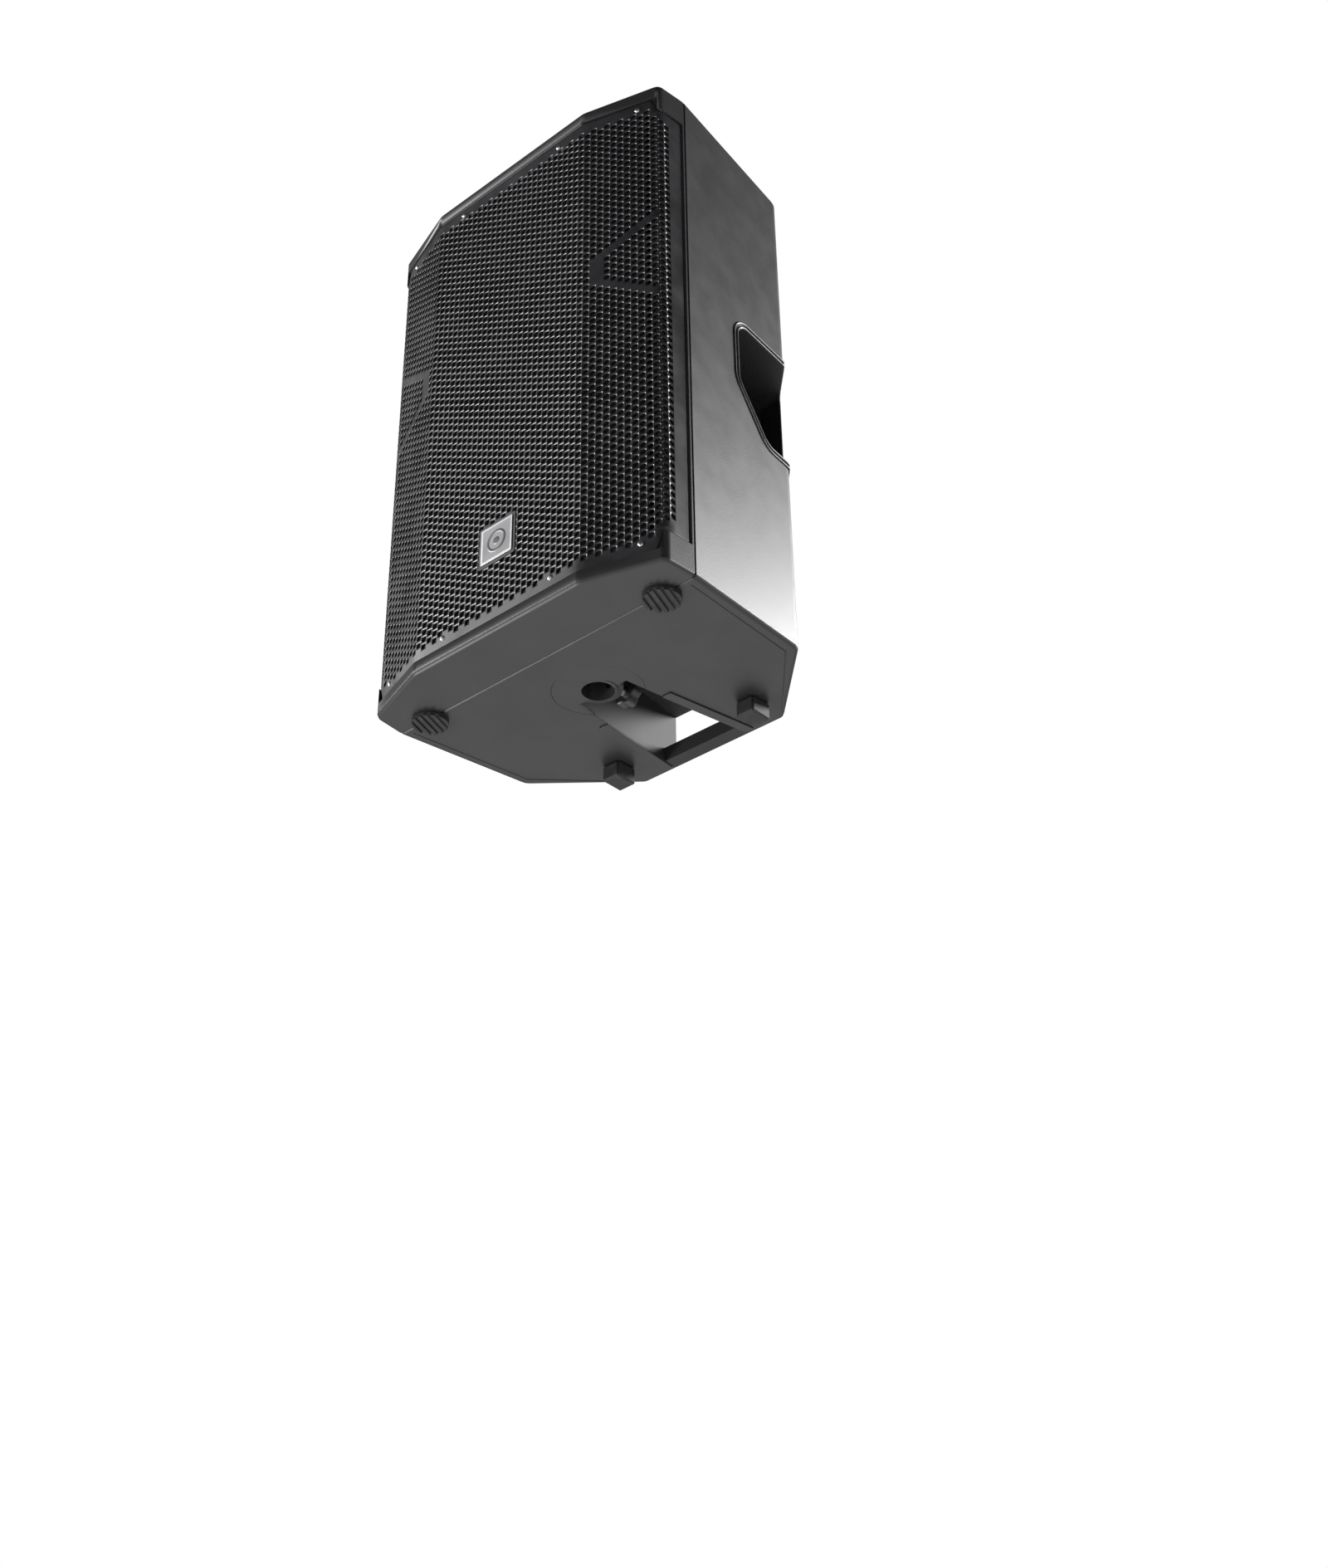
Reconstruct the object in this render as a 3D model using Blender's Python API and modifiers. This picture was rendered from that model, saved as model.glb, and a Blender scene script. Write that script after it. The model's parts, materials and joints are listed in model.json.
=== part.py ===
"""A moulded two-way PA loudspeaker with a 15 inch woofer and a horn, in metres, +Z up.

Lengths inside the functions are millimetres from the datum, which is the middle of the joint
between the two shells at the underside of the cabinet: +X to the right of someone who faces the
grille, +Y to the rear, +Z up. make_object turns them into metres and puts the datum where the
whole speaker stands centred on the world origin.
"""

from math import atan2, copysign, cos, pi, radians, sin, tan

import bmesh
import bpy
from mathutils import Matrix, Vector

MM = 0.001
GAP = 0.3  # between pieces that touch

# Cabinet
HALF_WIDTH = 212.5  # at the joint between the shells
HEIGHT = 679.4  # at the joint between the shells
FRONT_DEPTH = 69.1
REAR_DEPTH = 278.4
FRONT_CORNER = (209.0, 40.0)
FRONT_KINK = 118.0
FACET_TILT = atan2(FRONT_DEPTH - FRONT_CORNER[1], FRONT_CORNER[0] - FRONT_KINK)
SIDE_KINK = (199.7, 180.1)
REAR_HALF_WIDTH = 101.6
FLOOR_RISE = 0.0644  # the rear shell's draft, mm of rise for each mm to the rear
ROOF_FALL_REAR = 0.0733
ROOF_FALL_FRONT = 0.068
WALL = 5.0
RIM_RADIUS = 5.0
FOOT_HEIGHT = 6.0

# Grille and what lies behind it
GRILLE_INSET = 2.0
GRILLE_THICKNESS = 1.5
GRILLE_LOW, GRILLE_HIGH = 17.0, 657.0
FLANGE_LOW, FLANGE_HIGH = 38.0, 638.0
FLANGE_END = 4.0
FACET_END = 206.0
BAFFLE_FRONT, BAFFLE_REAR = 30.0, 20.0  # forward of the joint
FOAM_THICKNESS = 3.0
FACET_SHOULDER = 196.0  # beyond this the sheet narrows to its side flange
BADGE_FRAME = (28.0, 88.0, 146.0)  # half width, lowest and highest point
SCREW_RADIUS = 1.9

# Drivers, as heights above the underside
WOOFER_Z = 236.0
HORN_Z = 540.0
PORT_X, PORT_Z = 161.0, 406.0

# Pole socket and the bay behind it
POLE_Y = 88.0
POLE_RADIUS = 17.5
BORE_RADIUS = 18.0
CUP_RADIUS = 21.5
CUP_TOP = 108.0
FLANGE_RADIUS = 50.0
BOSS_RADIUS = 27.0
BAY_FRONT = 95.0
BAY_CEILING = 87.0
BAY_HALF_FRONT, BAY_HALF_REAR = 34.0, 54.4
BAR_FRONT, BAR_TOP = 255.4, 34.6
LOCK_Z = 24.0
LOCK_RADIUS = 5.0
LOCK_TRAVEL = 3.0

# Amplifier; places on its panel are (x, z) as someone behind the speaker sees them
AMP_LOW, AMP_HIGH, AMP_HALF_WIDTH = 96.0, 446.0, 92.0
PANEL_FACE = 261.7
PANEL_THICKNESS = 3.0
KNOBS = {
    "input_1_knob": (-52.0, 302.0),
    "input_2_knob": (0.0, 302.0),
    "master_knob": (52.0, 302.0),
}
INPUTS = {"1": (-52.0, 232.0), "2": (0.0, 232.0)}
LINK = (52.0, 232.0)
BUTTON = (-52.0, 268.0)
LED = (0.0, 268.0)
INLET = (-38.0, 150.0)
ROCKER = (40.0, 150.0)
ROCKER_TILT = 8.0
LATCH_RISE = 18.2

PARTS = "pa_speaker"
CUTTERS = "pa_speaker_cutters"
DATUM = Vector((0.0, (FRONT_DEPTH - REAR_DEPTH) / 2, FOOT_HEIGHT)) * MM
FORWARD = (radians(90), 0.0, 0.0)  # turns a piece's own +Z to the front
REARWARD = (radians(-90), 0.0, 0.0)


# ---------------------------------------------------------------- scene and materials


def clear_scene():
    for item in list(bpy.data.objects):
        bpy.data.objects.remove(item)
    for name in (PARTS, CUTTERS):
        group = bpy.data.collections.new(name)
        bpy.context.scene.collection.children.link(group)


def finish(name, colour, roughness, metallic=0.0):
    """The material of this name, made on first use."""
    found = bpy.data.materials.get(name)
    if found:
        return found
    made = bpy.data.materials.new(name)
    made.use_nodes = True
    made.diffuse_color = (*colour, 1.0)
    shader = made.node_tree.nodes["Principled BSDF"]
    shader.inputs["Base Color"].default_value = (*colour, 1.0)
    shader.inputs["Roughness"].default_value = roughness
    shader.inputs["Metallic"].default_value = metallic
    return made


def shell_plastic():
    return finish("shell_plastic", (0.035, 0.035, 0.037), 0.45)


def rubber():
    return finish("rubber", (0.02, 0.02, 0.02), 0.75)


def black_steel():
    return finish("black_steel", (0.04, 0.04, 0.04), 0.4, 0.6)


def bright_metal():
    return finish("bright_metal", (0.62, 0.62, 0.64), 0.3, 1.0)


def paper():
    return finish("paper", (0.03, 0.03, 0.03), 0.85)


def control_plastic():
    return finish("control_plastic", (0.025, 0.025, 0.027), 0.35)


# ---------------------------------------------------------------- outlines


def rounded(corners, steps=4):
    """The points of an outline given as (a, b, radius of the corner there)."""
    points = []
    count = len(corners)
    for index, (a, b, radius) in enumerate(corners):
        if radius <= 0:
            points.append((a, b))
            continue
        here = Vector((a, b))
        back = (Vector(corners[index - 1][:2]) - here).normalized()
        ahead = (Vector(corners[(index + 1) % count][:2]) - here).normalized()
        half = back.angle(ahead) / 2
        centre = here + (back + ahead).normalized() * radius / sin(half)
        start = here + back * radius / tan(half) - centre
        end = here + ahead * radius / tan(half) - centre
        first = atan2(start.y, start.x)
        turn = (atan2(end.y, end.x) - first + pi) % (2 * pi) - pi
        for step in range(steps + 1):
            angle = first + turn * step / steps
            points.append((centre.x + radius * cos(angle), centre.y + radius * sin(angle)))
    return points


def inset(corners, distance):
    """An anticlockwise outline moved inwards by a distance, or outwards by a negative one."""
    moved = []
    count = len(corners)
    for index, (a, b, radius) in enumerate(corners):
        here = Vector((a, b))
        back = (here - Vector(corners[index - 1][:2])).normalized()
        ahead = (Vector(corners[(index + 1) % count][:2]) - here).normalized()
        first, second = Vector((-back.y, back.x)), Vector((-ahead.y, ahead.x))
        spot = here + (first + second) * distance / (1 + first.dot(second))
        moved.append((spot.x, spot.y, max(radius - distance, 0.0) if radius else 0.0))
    return moved


def superellipse(half_width, half_height, power, steps=32):
    points = []
    for step in range(steps):
        angle = 2 * pi * (step + 0.5) / steps
        c, s = cos(angle), sin(angle)
        scale = (abs(c) ** power + abs(s) ** power) ** (-1 / power)
        points.append((half_width * c * scale, half_height * s * scale))
    return points


def rectangle(low, high, radius=0.0):
    (left, bottom), (right, top) = low, high
    corners = [(left, bottom), (right, bottom), (right, top), (left, top)]
    return [(a, b, radius) for a, b in corners]


# ---------------------------------------------------------------- solids, in millimetres


def prism(points, low, high, axis="Z"):
    """An outline pushed from low to high along an axis."""
    place = {
        "X": lambda a, b: (low, a, b),
        "Y": lambda a, b: (a, low, b),
        "Z": lambda a, b: (a, b, low),
    }[axis]
    bm = bmesh.new()
    face = bm.faces.new([bm.verts.new(place(a, b)) for a, b in points])
    grown = bmesh.ops.extrude_face_region(bm, geom=[face])["geom"]
    ends = [item for item in grown if isinstance(item, bmesh.types.BMVert)]
    step = Vector(((axis == "X"), (axis == "Y"), (axis == "Z"))) * (high - low)
    bmesh.ops.translate(bm, vec=step, verts=ends)
    bmesh.ops.recalc_face_normals(bm, faces=bm.faces)
    return bm


def box(low, high):
    bm = bmesh.new()
    low, high = Vector(low), Vector(high)
    place = Matrix.Translation((low + high) / 2) @ Matrix.Diagonal((*(high - low), 1.0))
    bmesh.ops.create_cube(bm, size=1.0, matrix=place)
    return bm


def cylinder(radius, low, high, axis="Z", at=(0.0, 0.0), segments=24):
    """A round bar from low to high along an axis; at is where it crosses the other two."""
    middle = (low + high) / 2
    spot = {"X": (middle, *at), "Y": (at[0], middle, at[1]), "Z": (*at, middle)}[axis]
    turn = {
        "X": Matrix.Rotation(radians(90), 4, "Y"),
        "Y": Matrix.Rotation(radians(-90), 4, "X"),
        "Z": Matrix.Identity(4),
    }[axis]
    bm = bmesh.new()
    bmesh.ops.create_cone(
        bm,
        cap_ends=True,
        segments=segments,
        radius1=radius,
        radius2=radius,
        depth=high - low,
        matrix=Matrix.Translation(spot) @ turn,
    )
    return bm


def follow_floor(bm):
    """Shears a level solid so that it lies along the rear shell's rising underside."""
    for vert in bm.verts:
        vert.co.z += FLOOR_RISE * vert.co.y
    return bm


def floor_height(y):
    return FLOOR_RISE * y if y > 0 else 0.0


def roof_height(y):
    return HEIGHT - (ROOF_FALL_REAR * y if y > 0 else -ROOF_FALL_FRONT * y)


def make_object(name, bm, material=None, at=(0.0, 0.0, 0.0), turn=(0.0, 0.0, 0.0), group=PARTS):
    """Turns a millimetre solid into a named object; without a material it is a cutter."""
    bmesh.ops.scale(bm, vec=(MM, MM, MM), verts=bm.verts)
    mesh = bpy.data.meshes.new(name)
    bm.to_mesh(mesh)
    bm.free()
    made = bpy.data.objects.new(name, mesh)
    made.location = DATUM + Vector(at) * MM
    made.rotation_euler = turn
    if material is None:
        group = CUTTERS
        made.hide_render = True
        made.display_type = "WIRE"
    else:
        mesh.materials.append(material)
        mesh.shade_smooth()
        mesh.set_sharp_from_angle(angle=radians(35))
    bpy.data.collections[group].objects.link(made)
    return made


def lathe(name, profile, material, at, turn=FORWARD, steps=32):
    """A turned piece: a profile of (radius, height) points about its own Z axis.

    A profile that starts and ends on the axis stays open there, and any other is a ring."""
    closed = profile[0][0] > 0 or profile[-1][0] > 0
    ends = profile[1:] + profile[:1]
    area = sum(a[0] * b[1] - b[0] * a[1] for a, b in zip(profile, ends))
    downwards = profile if area < 0 else profile[::-1]
    bm = bmesh.new()
    verts = [bm.verts.new((radius, 0.0, height)) for radius, height in downwards]
    for first, second in zip(verts, verts[1:]):
        bm.edges.new((first, second))
    if closed:
        bm.edges.new((verts[-1], verts[0]))
    made = make_object(name, bm, material, at, turn)
    screw = made.modifiers.new("turn", "SCREW")
    screw.axis = "Z"
    screw.steps = screw.render_steps = steps
    screw.use_merge_vertices = True
    screw.merge_threshold = 0.00001
    screw.use_smooth_shade = True
    return made


def bevel(made, width, segments=2, limit="ANGLE"):
    modifier = made.modifiers.new("rounding", "BEVEL")
    modifier.width = width * MM
    modifier.segments = segments
    modifier.limit_method = limit
    modifier.angle_limit = radians(40)
    modifier.use_clamp_overlap = False


def boolean(made, other, operation="DIFFERENCE"):
    modifier = made.modifiers.new(other.name, "BOOLEAN")
    modifier.operation = operation
    modifier.object = other
    modifier.solver = "EXACT"


def cut(made, *solids):
    """Cuts millimetre solids, each given in the datum's own axes, out of an object."""
    for index, bm in enumerate(solids):
        cutter = make_object(f"{made.name}_cut_{index + len(made.modifiers)}", bm)
        boolean(made, cutter)
    return made


# ---------------------------------------------------------------- the cabinet's two blocks


def front_corners():
    """The front shell in plan, anticlockwise from its rear right corner."""
    x, y = FRONT_CORNER
    return [
        (HALF_WIDTH, -GAP, 0.0),
        (-HALF_WIDTH, -GAP, 0.0),
        (-x, -y, 10.0),
        (-FRONT_KINK, -FRONT_DEPTH, 25.0),
        (FRONT_KINK, -FRONT_DEPTH, 25.0),
        (x, -y, 10.0),
    ]


def rear_corners(start=0.0):
    x, y = SIDE_KINK
    return [
        (HALF_WIDTH, start, 0.0),
        (x, y, 16.0),
        (REAR_HALF_WIDTH, REAR_DEPTH, 10.0),
        (-REAR_HALF_WIDTH, REAR_DEPTH, 10.0),
        (-x, y, 16.0),
        (-HALF_WIDTH, start, 0.0),
    ]


def cabinet_block(corners, margin=0.0):
    """A block with the cabinet's floor and roof, brought in by a margin at both."""
    bm = prism(rounded(corners), 0.0, 1.0)
    for vert in bm.verts:
        if vert.co.z < 0.5:
            vert.co.z = floor_height(vert.co.y) + margin
        else:
            vert.co.z = roof_height(vert.co.y) - margin
    return bm


def round_rims(bm, joint_y):
    """Marks the floor's and roof's edges for rounding, apart from those at the joint."""
    weight = bm.edges.layers.float.new("bevel_weight_edge")
    for edge in bm.edges:
        first, second = edge.verts
        upright = abs(first.co.z - second.co.z) > HEIGHT / 2
        at_joint = abs(first.co.y - joint_y) < 0.01 and abs(second.co.y - joint_y) < 0.01
        edge[weight] = 0.0 if upright or at_joint else 1.0
    return bm


def front_face(x, distance):
    """How far the front lies behind the datum at x, a distance inside its surface."""
    beyond = max(abs(x) - FRONT_KINK, 0.0)
    lean = FACET_TILT if beyond else 0.0
    return -FRONT_DEPTH + distance / cos(lean) + beyond * tan(FACET_TILT)


def side_face(y, distance):
    """The front shell's half width at y, a distance inside its surface."""
    x, corner_y = FRONT_CORNER
    return x + (HALF_WIDTH - x) * (corner_y + y) / corner_y - distance


def front_band(grow, depth, low, high, end, half_width=None):
    """A band that follows the front: from grow outside it to depth inside it."""
    outer = inset(front_corners(), -grow)[2:]
    inner = inset(front_corners(), depth)[2:]
    flank = side_face(-end, depth)
    points = [(-HALF_WIDTH - grow, -end)] + open_path(outer) + [(HALF_WIDTH + grow, -end)]
    points += [(flank, -end)] + open_path(inner)[::-1] + [(-flank, -end)]
    bm = prism(points, low, high)
    if half_width:
        for side in (-1, 1):
            whole = bm.verts[:] + bm.edges[:] + bm.faces[:]
            cleared = bmesh.ops.bisect_plane(
                bm,
                geom=whole,
                plane_co=(side * half_width, 0, 0),
                plane_no=(side, 0, 0),
                clear_outer=True,
            )
            rim = [item for item in cleared["geom_cut"] if isinstance(item, bmesh.types.BMEdge)]
            bmesh.ops.edgeloop_fill(bm, edges=rim)
        bmesh.ops.recalc_face_normals(bm, faces=bm.faces)
    return bm


def open_path(corners):
    """The rounded points of four front corners, from left to right."""
    ends = [(corners[0][0], 0.0, 0.0)] + list(corners) + [(corners[-1][0], 0.0, 0.0)]
    return rounded(ends)[1:-1]


# ---------------------------------------------------------------- shells


def make_front_shell():
    shell = make_object("front_shell", round_rims(cabinet_block(front_corners()), -GAP), shell_plastic())
    bevel(shell, RIM_RADIUS, limit="WEIGHT")
    tray = 202.0
    opening = 196.0
    seat = GRILLE_INSET + GRILLE_THICKNESS + GAP
    cut(
        shell,
        box((-tray, -BAFFLE_REAR, WALL + 2), (tray, 1, HEIGHT - WALL - 4)),
        front_band(10, seat, GRILLE_LOW, GRILLE_HIGH, FLANGE_END, FACET_END),
        front_band(10, seat, FLANGE_LOW, FLANGE_HIGH, FLANGE_END - GAP),
        prism(rounded(rectangle((-opening, 40), (opening, 638), 8)), -80, -BAFFLE_FRONT, "Y"),
        cylinder(176.5, -BAFFLE_FRONT - 1, 0, "Y", (0, WOOFER_Z), 48),
        prism([(x, z + HORN_Z) for x, z in superellipse(129.5, 85.5, 6)], -BAFFLE_FRONT - 1, 0, "Y"),
        cylinder(27.3, -BAFFLE_FRONT - 1, 0, "Y", (-PORT_X, PORT_Z)),
        cylinder(27.3, -BAFFLE_FRONT - 1, 0, "Y", (PORT_X, PORT_Z)),
    )


def handle_corners():
    """The side pocket seen from the right: (y, z, corner radius)."""
    return [
        (90.0, 404.0, 18.0),
        (90.0, 322.0, 20.0),
        (140.0, 262.0, 24.0),
        (214.0, 262.0, 10.0),
        (214.0, 404.0, 10.0),
    ]


def bay_prism(margin, low, high, front, rear):
    """The cable bay behind the pole socket: it widens to the rear."""
    slope = (BAY_HALF_REAR - BAY_HALF_FRONT) / (REAR_DEPTH - BAY_FRONT)
    near = BAY_HALF_FRONT + slope * (front - BAY_FRONT) + margin
    far = BAY_HALF_FRONT + slope * (rear - BAY_FRONT) + margin
    return prism([(near, front), (far, rear), (-far, rear), (-near, front)], low, high)


def bay_with_boss(name, margin, low, high, front, rear):
    """The bay as a cutter that leaves the round boss of the pole socket standing."""
    bay = make_object(name, bay_prism(margin, low, high, front, rear))
    boss = cylinder(BOSS_RADIUS - margin, low - 5, high + 5, "Z", (0, POLE_Y), 40)
    boolean(bay, make_object(name + "_boss", boss))
    return bay


def rear_cavity():
    """The inside of the rear shell: the block less a wall, less what stands inside it."""
    corners = inset(rear_corners(-1.0), WALL)
    corners[0] = (HALF_WIDTH - WALL, -1.0, 0.0)
    corners[-1] = (WALL - HALF_WIDTH, -1.0, 0.0)
    cavity = make_object("rear_cavity", cabinet_block(corners, WALL))
    lining = 4.0
    cut(
        cavity,
        bay_prism(lining, -5, BAY_CEILING + lining, BAY_FRONT - lining, REAR_DEPTH + 5),
        follow_floor(cylinder(FLANGE_RADIUS + lining, -5, 8.5, "Z", (0, POLE_Y), 48)),
        cylinder(BOSS_RADIUS, -5, CUP_TOP + lining, "Z", (0, POLE_Y), 48),
        box((-97, PANEL_FACE - 9, AMP_LOW - 8), (97, REAR_DEPTH + 5, AMP_HIGH + 5)),
        cylinder(14, 640, HEIGHT + 5, "Z", (-150, 60)),
        cylinder(14, 640, HEIGHT + 5, "Z", (150, 60)),
    )
    return cavity


def make_rear_shell():
    shell = make_object("rear_shell", round_rims(cabinet_block(rear_corners()), 0.0), shell_plastic())
    bevel(shell, RIM_RADIUS, limit="WEIGHT")
    boolean(shell, rear_cavity())
    boolean(shell, bay_with_boss("bay_hollow", 0.0, -5, BAY_CEILING, BAY_FRONT, BAR_FRONT))
    behind = PANEL_FACE - PANEL_THICKNESS - GAP
    pocket = rounded(inset(handle_corners(), -3 - GAP))
    cut(
        shell,
        bay_prism(0.0, BAR_TOP, BAY_CEILING, BAR_FRONT - 1, REAR_DEPTH + 5),
        follow_floor(cylinder(FLANGE_RADIUS + GAP, -5, 3, "Z", (0, POLE_Y), 48)),
        cylinder(CUP_RADIUS + GAP, -5, CUP_TOP + GAP, "Z", (0, POLE_Y), 32),
        cylinder(5.6, POLE_Y + 10, POLE_Y + BOSS_RADIUS + 8, "Y", (0, LOCK_Z), 16),
        box((-AMP_HALF_WIDTH, behind, AMP_LOW), (AMP_HALF_WIDTH, REAR_DEPTH + 5, AMP_HIGH)),
        box((-80, behind - 10, AMP_LOW + 14), (80, behind + 1, AMP_HIGH - 14)),
        prism(pocket, 133.5, 240, "X"),
        prism(pocket, -240, -133.5, "X"),
        cylinder(9 + GAP, 646 - GAP, HEIGHT + 5, "Z", (-150, 60)),
        cylinder(9 + GAP, 646 - GAP, HEIGHT + 5, "Z", (150, 60)),
    )


def make_handle_cups():
    """A cup in each side, whose rim follows the wall round the rear corner."""
    outer = rounded(inset(handle_corners(), -3))
    inner = rounded(handle_corners())
    for side, name in ((-1, "left"), (1, "right")):
        deep, floor, out = side * 134.0, side * 137.5, side * 240.0
        block = prism(outer, min(deep, out), max(deep, out), "X")
        cup = make_object(f"handle_cup_{name}", block, shell_plastic())
        hull = make_object(f"handle_hull_{name}", cabinet_block(rear_corners()))
        boolean(cup, hull, "INTERSECT")
        cut(cup, prism(inner, min(floor, out), max(floor, out), "X"))


def make_rigging_inserts():
    for side, name in ((-1, "left"), (1, "right")):
        profile = [(0, 650), (4.3, 650), (4.3, 671), (9, 671), (9, 646), (0, 646)]
        lathe(f"rigging_insert_{name}", profile, bright_metal(), (side * 150, 60, 0), (0, 0, 0), 24)


# ---------------------------------------------------------------- grille and badge


def grille_columns():
    """The grille's line in plan from left to right, with its lowest and highest point there."""
    corners = inset(front_corners(), GRILLE_INSET)[2:]
    flank = side_face(-FLANGE_END - GAP, GRILLE_INSET)
    line = [(-flank, -FLANGE_END - GAP)] + open_path(corners) + [(flank, -FLANGE_END - GAP)]
    for side in (-1, 1):
        line.append((side * FACET_SHOULDER, front_face(FACET_SHOULDER, GRILLE_INSET)))
    line.sort(key=lambda point: (point[0], copysign(point[1], point[0])))
    columns = []
    for x, y in line:
        on_facet = abs(x) <= FACET_SHOULDER
        low = (GRILLE_LOW if on_facet else FLANGE_LOW) + GAP
        high = (GRILLE_HIGH if on_facet else FLANGE_HIGH) - GAP
        columns.append((x, y, low, high))
    return columns


def sheet(name, columns, thickness, material):
    """An upright sheet through columns of (x, y, lowest z, highest z)."""
    bm = bmesh.new()
    pairs = [(bm.verts.new((x, y, low)), bm.verts.new((x, y, high))) for x, y, low, high in columns]
    for (a, b), (c, d) in zip(pairs, pairs[1:]):
        bm.faces.new((a, c, d, b))
    made = make_object(name, bm, material)
    solidify = made.modifiers.new("thickness", "SOLIDIFY")
    solidify.thickness = thickness * MM
    solidify.offset = -1.0
    solidify.use_even_offset = True
    return made


def make_grille():
    grille = sheet("grille", grille_columns(), GRILLE_THICKNESS, black_steel())
    half, low, high = BADGE_FRAME
    window = box((-half - GAP, -FRONT_DEPTH - 10, low - GAP), (half + GAP, -FRONT_DEPTH + 20, high + GAP))
    cut(grille, window)
    for name, place, turn in grille_screw_places():
        hole = cylinder(SCREW_RADIUS + GAP, -5, 5, "Z", (0, 0), 12)
        boolean(grille, make_object(f"{name}_hole", hole, None, place, turn))


def make_foam():
    back = GRILLE_INSET + GRILLE_THICKNESS + 3 * GAP
    reach, low, high = 190.0, 42.0, 636.0
    line = [-reach, -FRONT_KINK, FRONT_KINK, reach]
    columns = [(x, front_face(x, back), low, high) for x in line]
    sheet("grille_foam", columns, FOAM_THICKNESS, finish("foam", (0.015, 0.015, 0.015), 0.95))


def grille_screw_places():
    """Name, place on the grille's face and turn of each of its eight screws."""
    places = []
    for row, z in (("top", 647.5), ("bottom", 30.0)):
        for label, x in (("1", -182.0), ("2", -78.0), ("3", 78.0), ("4", 182.0)):
            lean = 0.0 if abs(x) < FRONT_KINK else copysign(FACET_TILT, x)
            place = (x, front_face(x, GRILLE_INSET), z)
            places.append((f"grille_screw_{row}_{label}", place, (radians(90), 0, lean)))
    return places


def screw_profile(radius, rise, reach):
    """Half of a dome-headed screw: its head's radius and rise, and its shank's reach."""
    head = [(0, rise), (radius * 0.55, rise * 0.9), (radius, rise * 0.5), (radius, GAP)]
    return head + [(SCREW_RADIUS, GAP), (SCREW_RADIUS, -reach), (0, -reach)]


def make_grille_screws():
    for name, place, turn in grille_screw_places():
        lathe(name, screw_profile(3.3, 1.9, 1.3), bright_metal(), place, turn, 12)


def make_badge():
    face = -FRONT_DEPTH + GRILLE_INSET
    half, low, high = BADGE_FRAME
    frame = box((-half, face, low), (half, face + 1.4, high))
    bevel(make_object("badge_frame", frame, control_plastic()), 0.4, 1)
    border = 6.0
    proud = face - GRILLE_INSET + 0.2
    plate = box((-half + border, proud, low + border), (half - border, face - GAP, high - border))
    bevel(make_object("badge_plate", plate, bright_metal()), 0.5, 1)


# ---------------------------------------------------------------- feet and pole socket


def make_front_foot(name, x):
    """A ribbed round foot across the joint between the shells."""
    radius, y = 20.0, 2.0
    pad = cylinder(radius, -FOOT_HEIGHT, -GAP, "Z", (x, y), 28)
    foot = make_object(name, pad, rubber())
    groove_half, groove_depth, pitch = 1.6, 2.6, 7.4
    for row in range(-2, 3):
        low = (row * pitch - groove_half, -radius - 6, -FOOT_HEIGHT - 1)
        high = (row * pitch + groove_half, radius + 6, -FOOT_HEIGHT + groove_depth)
        groove = box(low, high)
        place = Matrix.Translation((x, y, 0)) @ Matrix.Rotation(radians(18), 4, "Z")
        bmesh.ops.transform(groove, matrix=place, verts=groove.verts)
        cut(foot, groove)


def make_rear_foot(name, x):
    """A tall block that takes up the rise of the underside."""
    block = box((x - 12, 213, -FOOT_HEIGHT), (x + 12, 243, 0))
    for vert in block.verts:
        if vert.co.z > -1:
            vert.co.z = floor_height(vert.co.y) - GAP
    bevel(make_object(name, block, rubber()), 2.0, 1)


def make_feet():
    for side, name in ((-1, "left"), (1, "right")):
        make_front_foot(f"front_foot_{name}", side * 167.0)
        make_rear_foot(f"rear_foot_{name}", side * 98.0)


def make_pole_cup():
    tube = cylinder(CUP_RADIUS, 5, CUP_TOP, "Z", (0, POLE_Y), 32)
    cup = make_object("pole_cup", tube, shell_plastic())
    flange = follow_floor(cylinder(FLANGE_RADIUS, 0.2, 3 - GAP, "Z", (0, POLE_Y), 48))
    boolean(cup, make_object("pole_cup_flange", flange), "UNION")
    boolean(cup, bay_with_boss("pole_cup_bay", GAP, -5, 30, BAY_FRONT - GAP, 200))
    cut(
        cup,
        cylinder(BORE_RADIUS, -5, CUP_TOP - 4, "Z", (0, POLE_Y), 32),
        cylinder(LOCK_RADIUS + 0.4, POLE_Y + 10, POLE_Y + 30, "Y", (0, LOCK_Z), 16),
    )


def make_pole_lock():
    """A spindle whose tip stands clear of the pole when the lobed knob on it is loose."""
    start = POLE_Y + POLE_RADIUS + LOCK_TRAVEL + 0.2
    length = 19.5
    profile = [(0, length), (LOCK_RADIUS, length), (LOCK_RADIUS, 0), (0, 0)]
    lathe("pole_lock_spindle", profile, bright_metal(), (0, start, LOCK_Z), REARWARD, 16)
    lobes = []
    steps = 30
    for step in range(steps):
        angle = 2 * pi * step / steps
        radius = 14.0 + 1.8 * cos(5 * angle)
        lobes.append((radius * cos(angle), radius * sin(angle)))
    place = (0, start + length + GAP, LOCK_Z)
    knob = make_object("pole_lock_knob", prism(lobes, 0, 13), control_plastic(), place, REARWARD)
    bevel(knob, 1.2, 1)


# ---------------------------------------------------------------- woofer


def arc(radius, height, size, first, last, steps=6):
    """(radius, height) points on an arc, angles in degrees from straight outwards."""
    points = []
    for step in range(steps + 1):
        angle = radians(first + (last - first) * step / steps)
        points.append((radius + size * cos(angle), height + size * sin(angle)))
    return points


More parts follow.
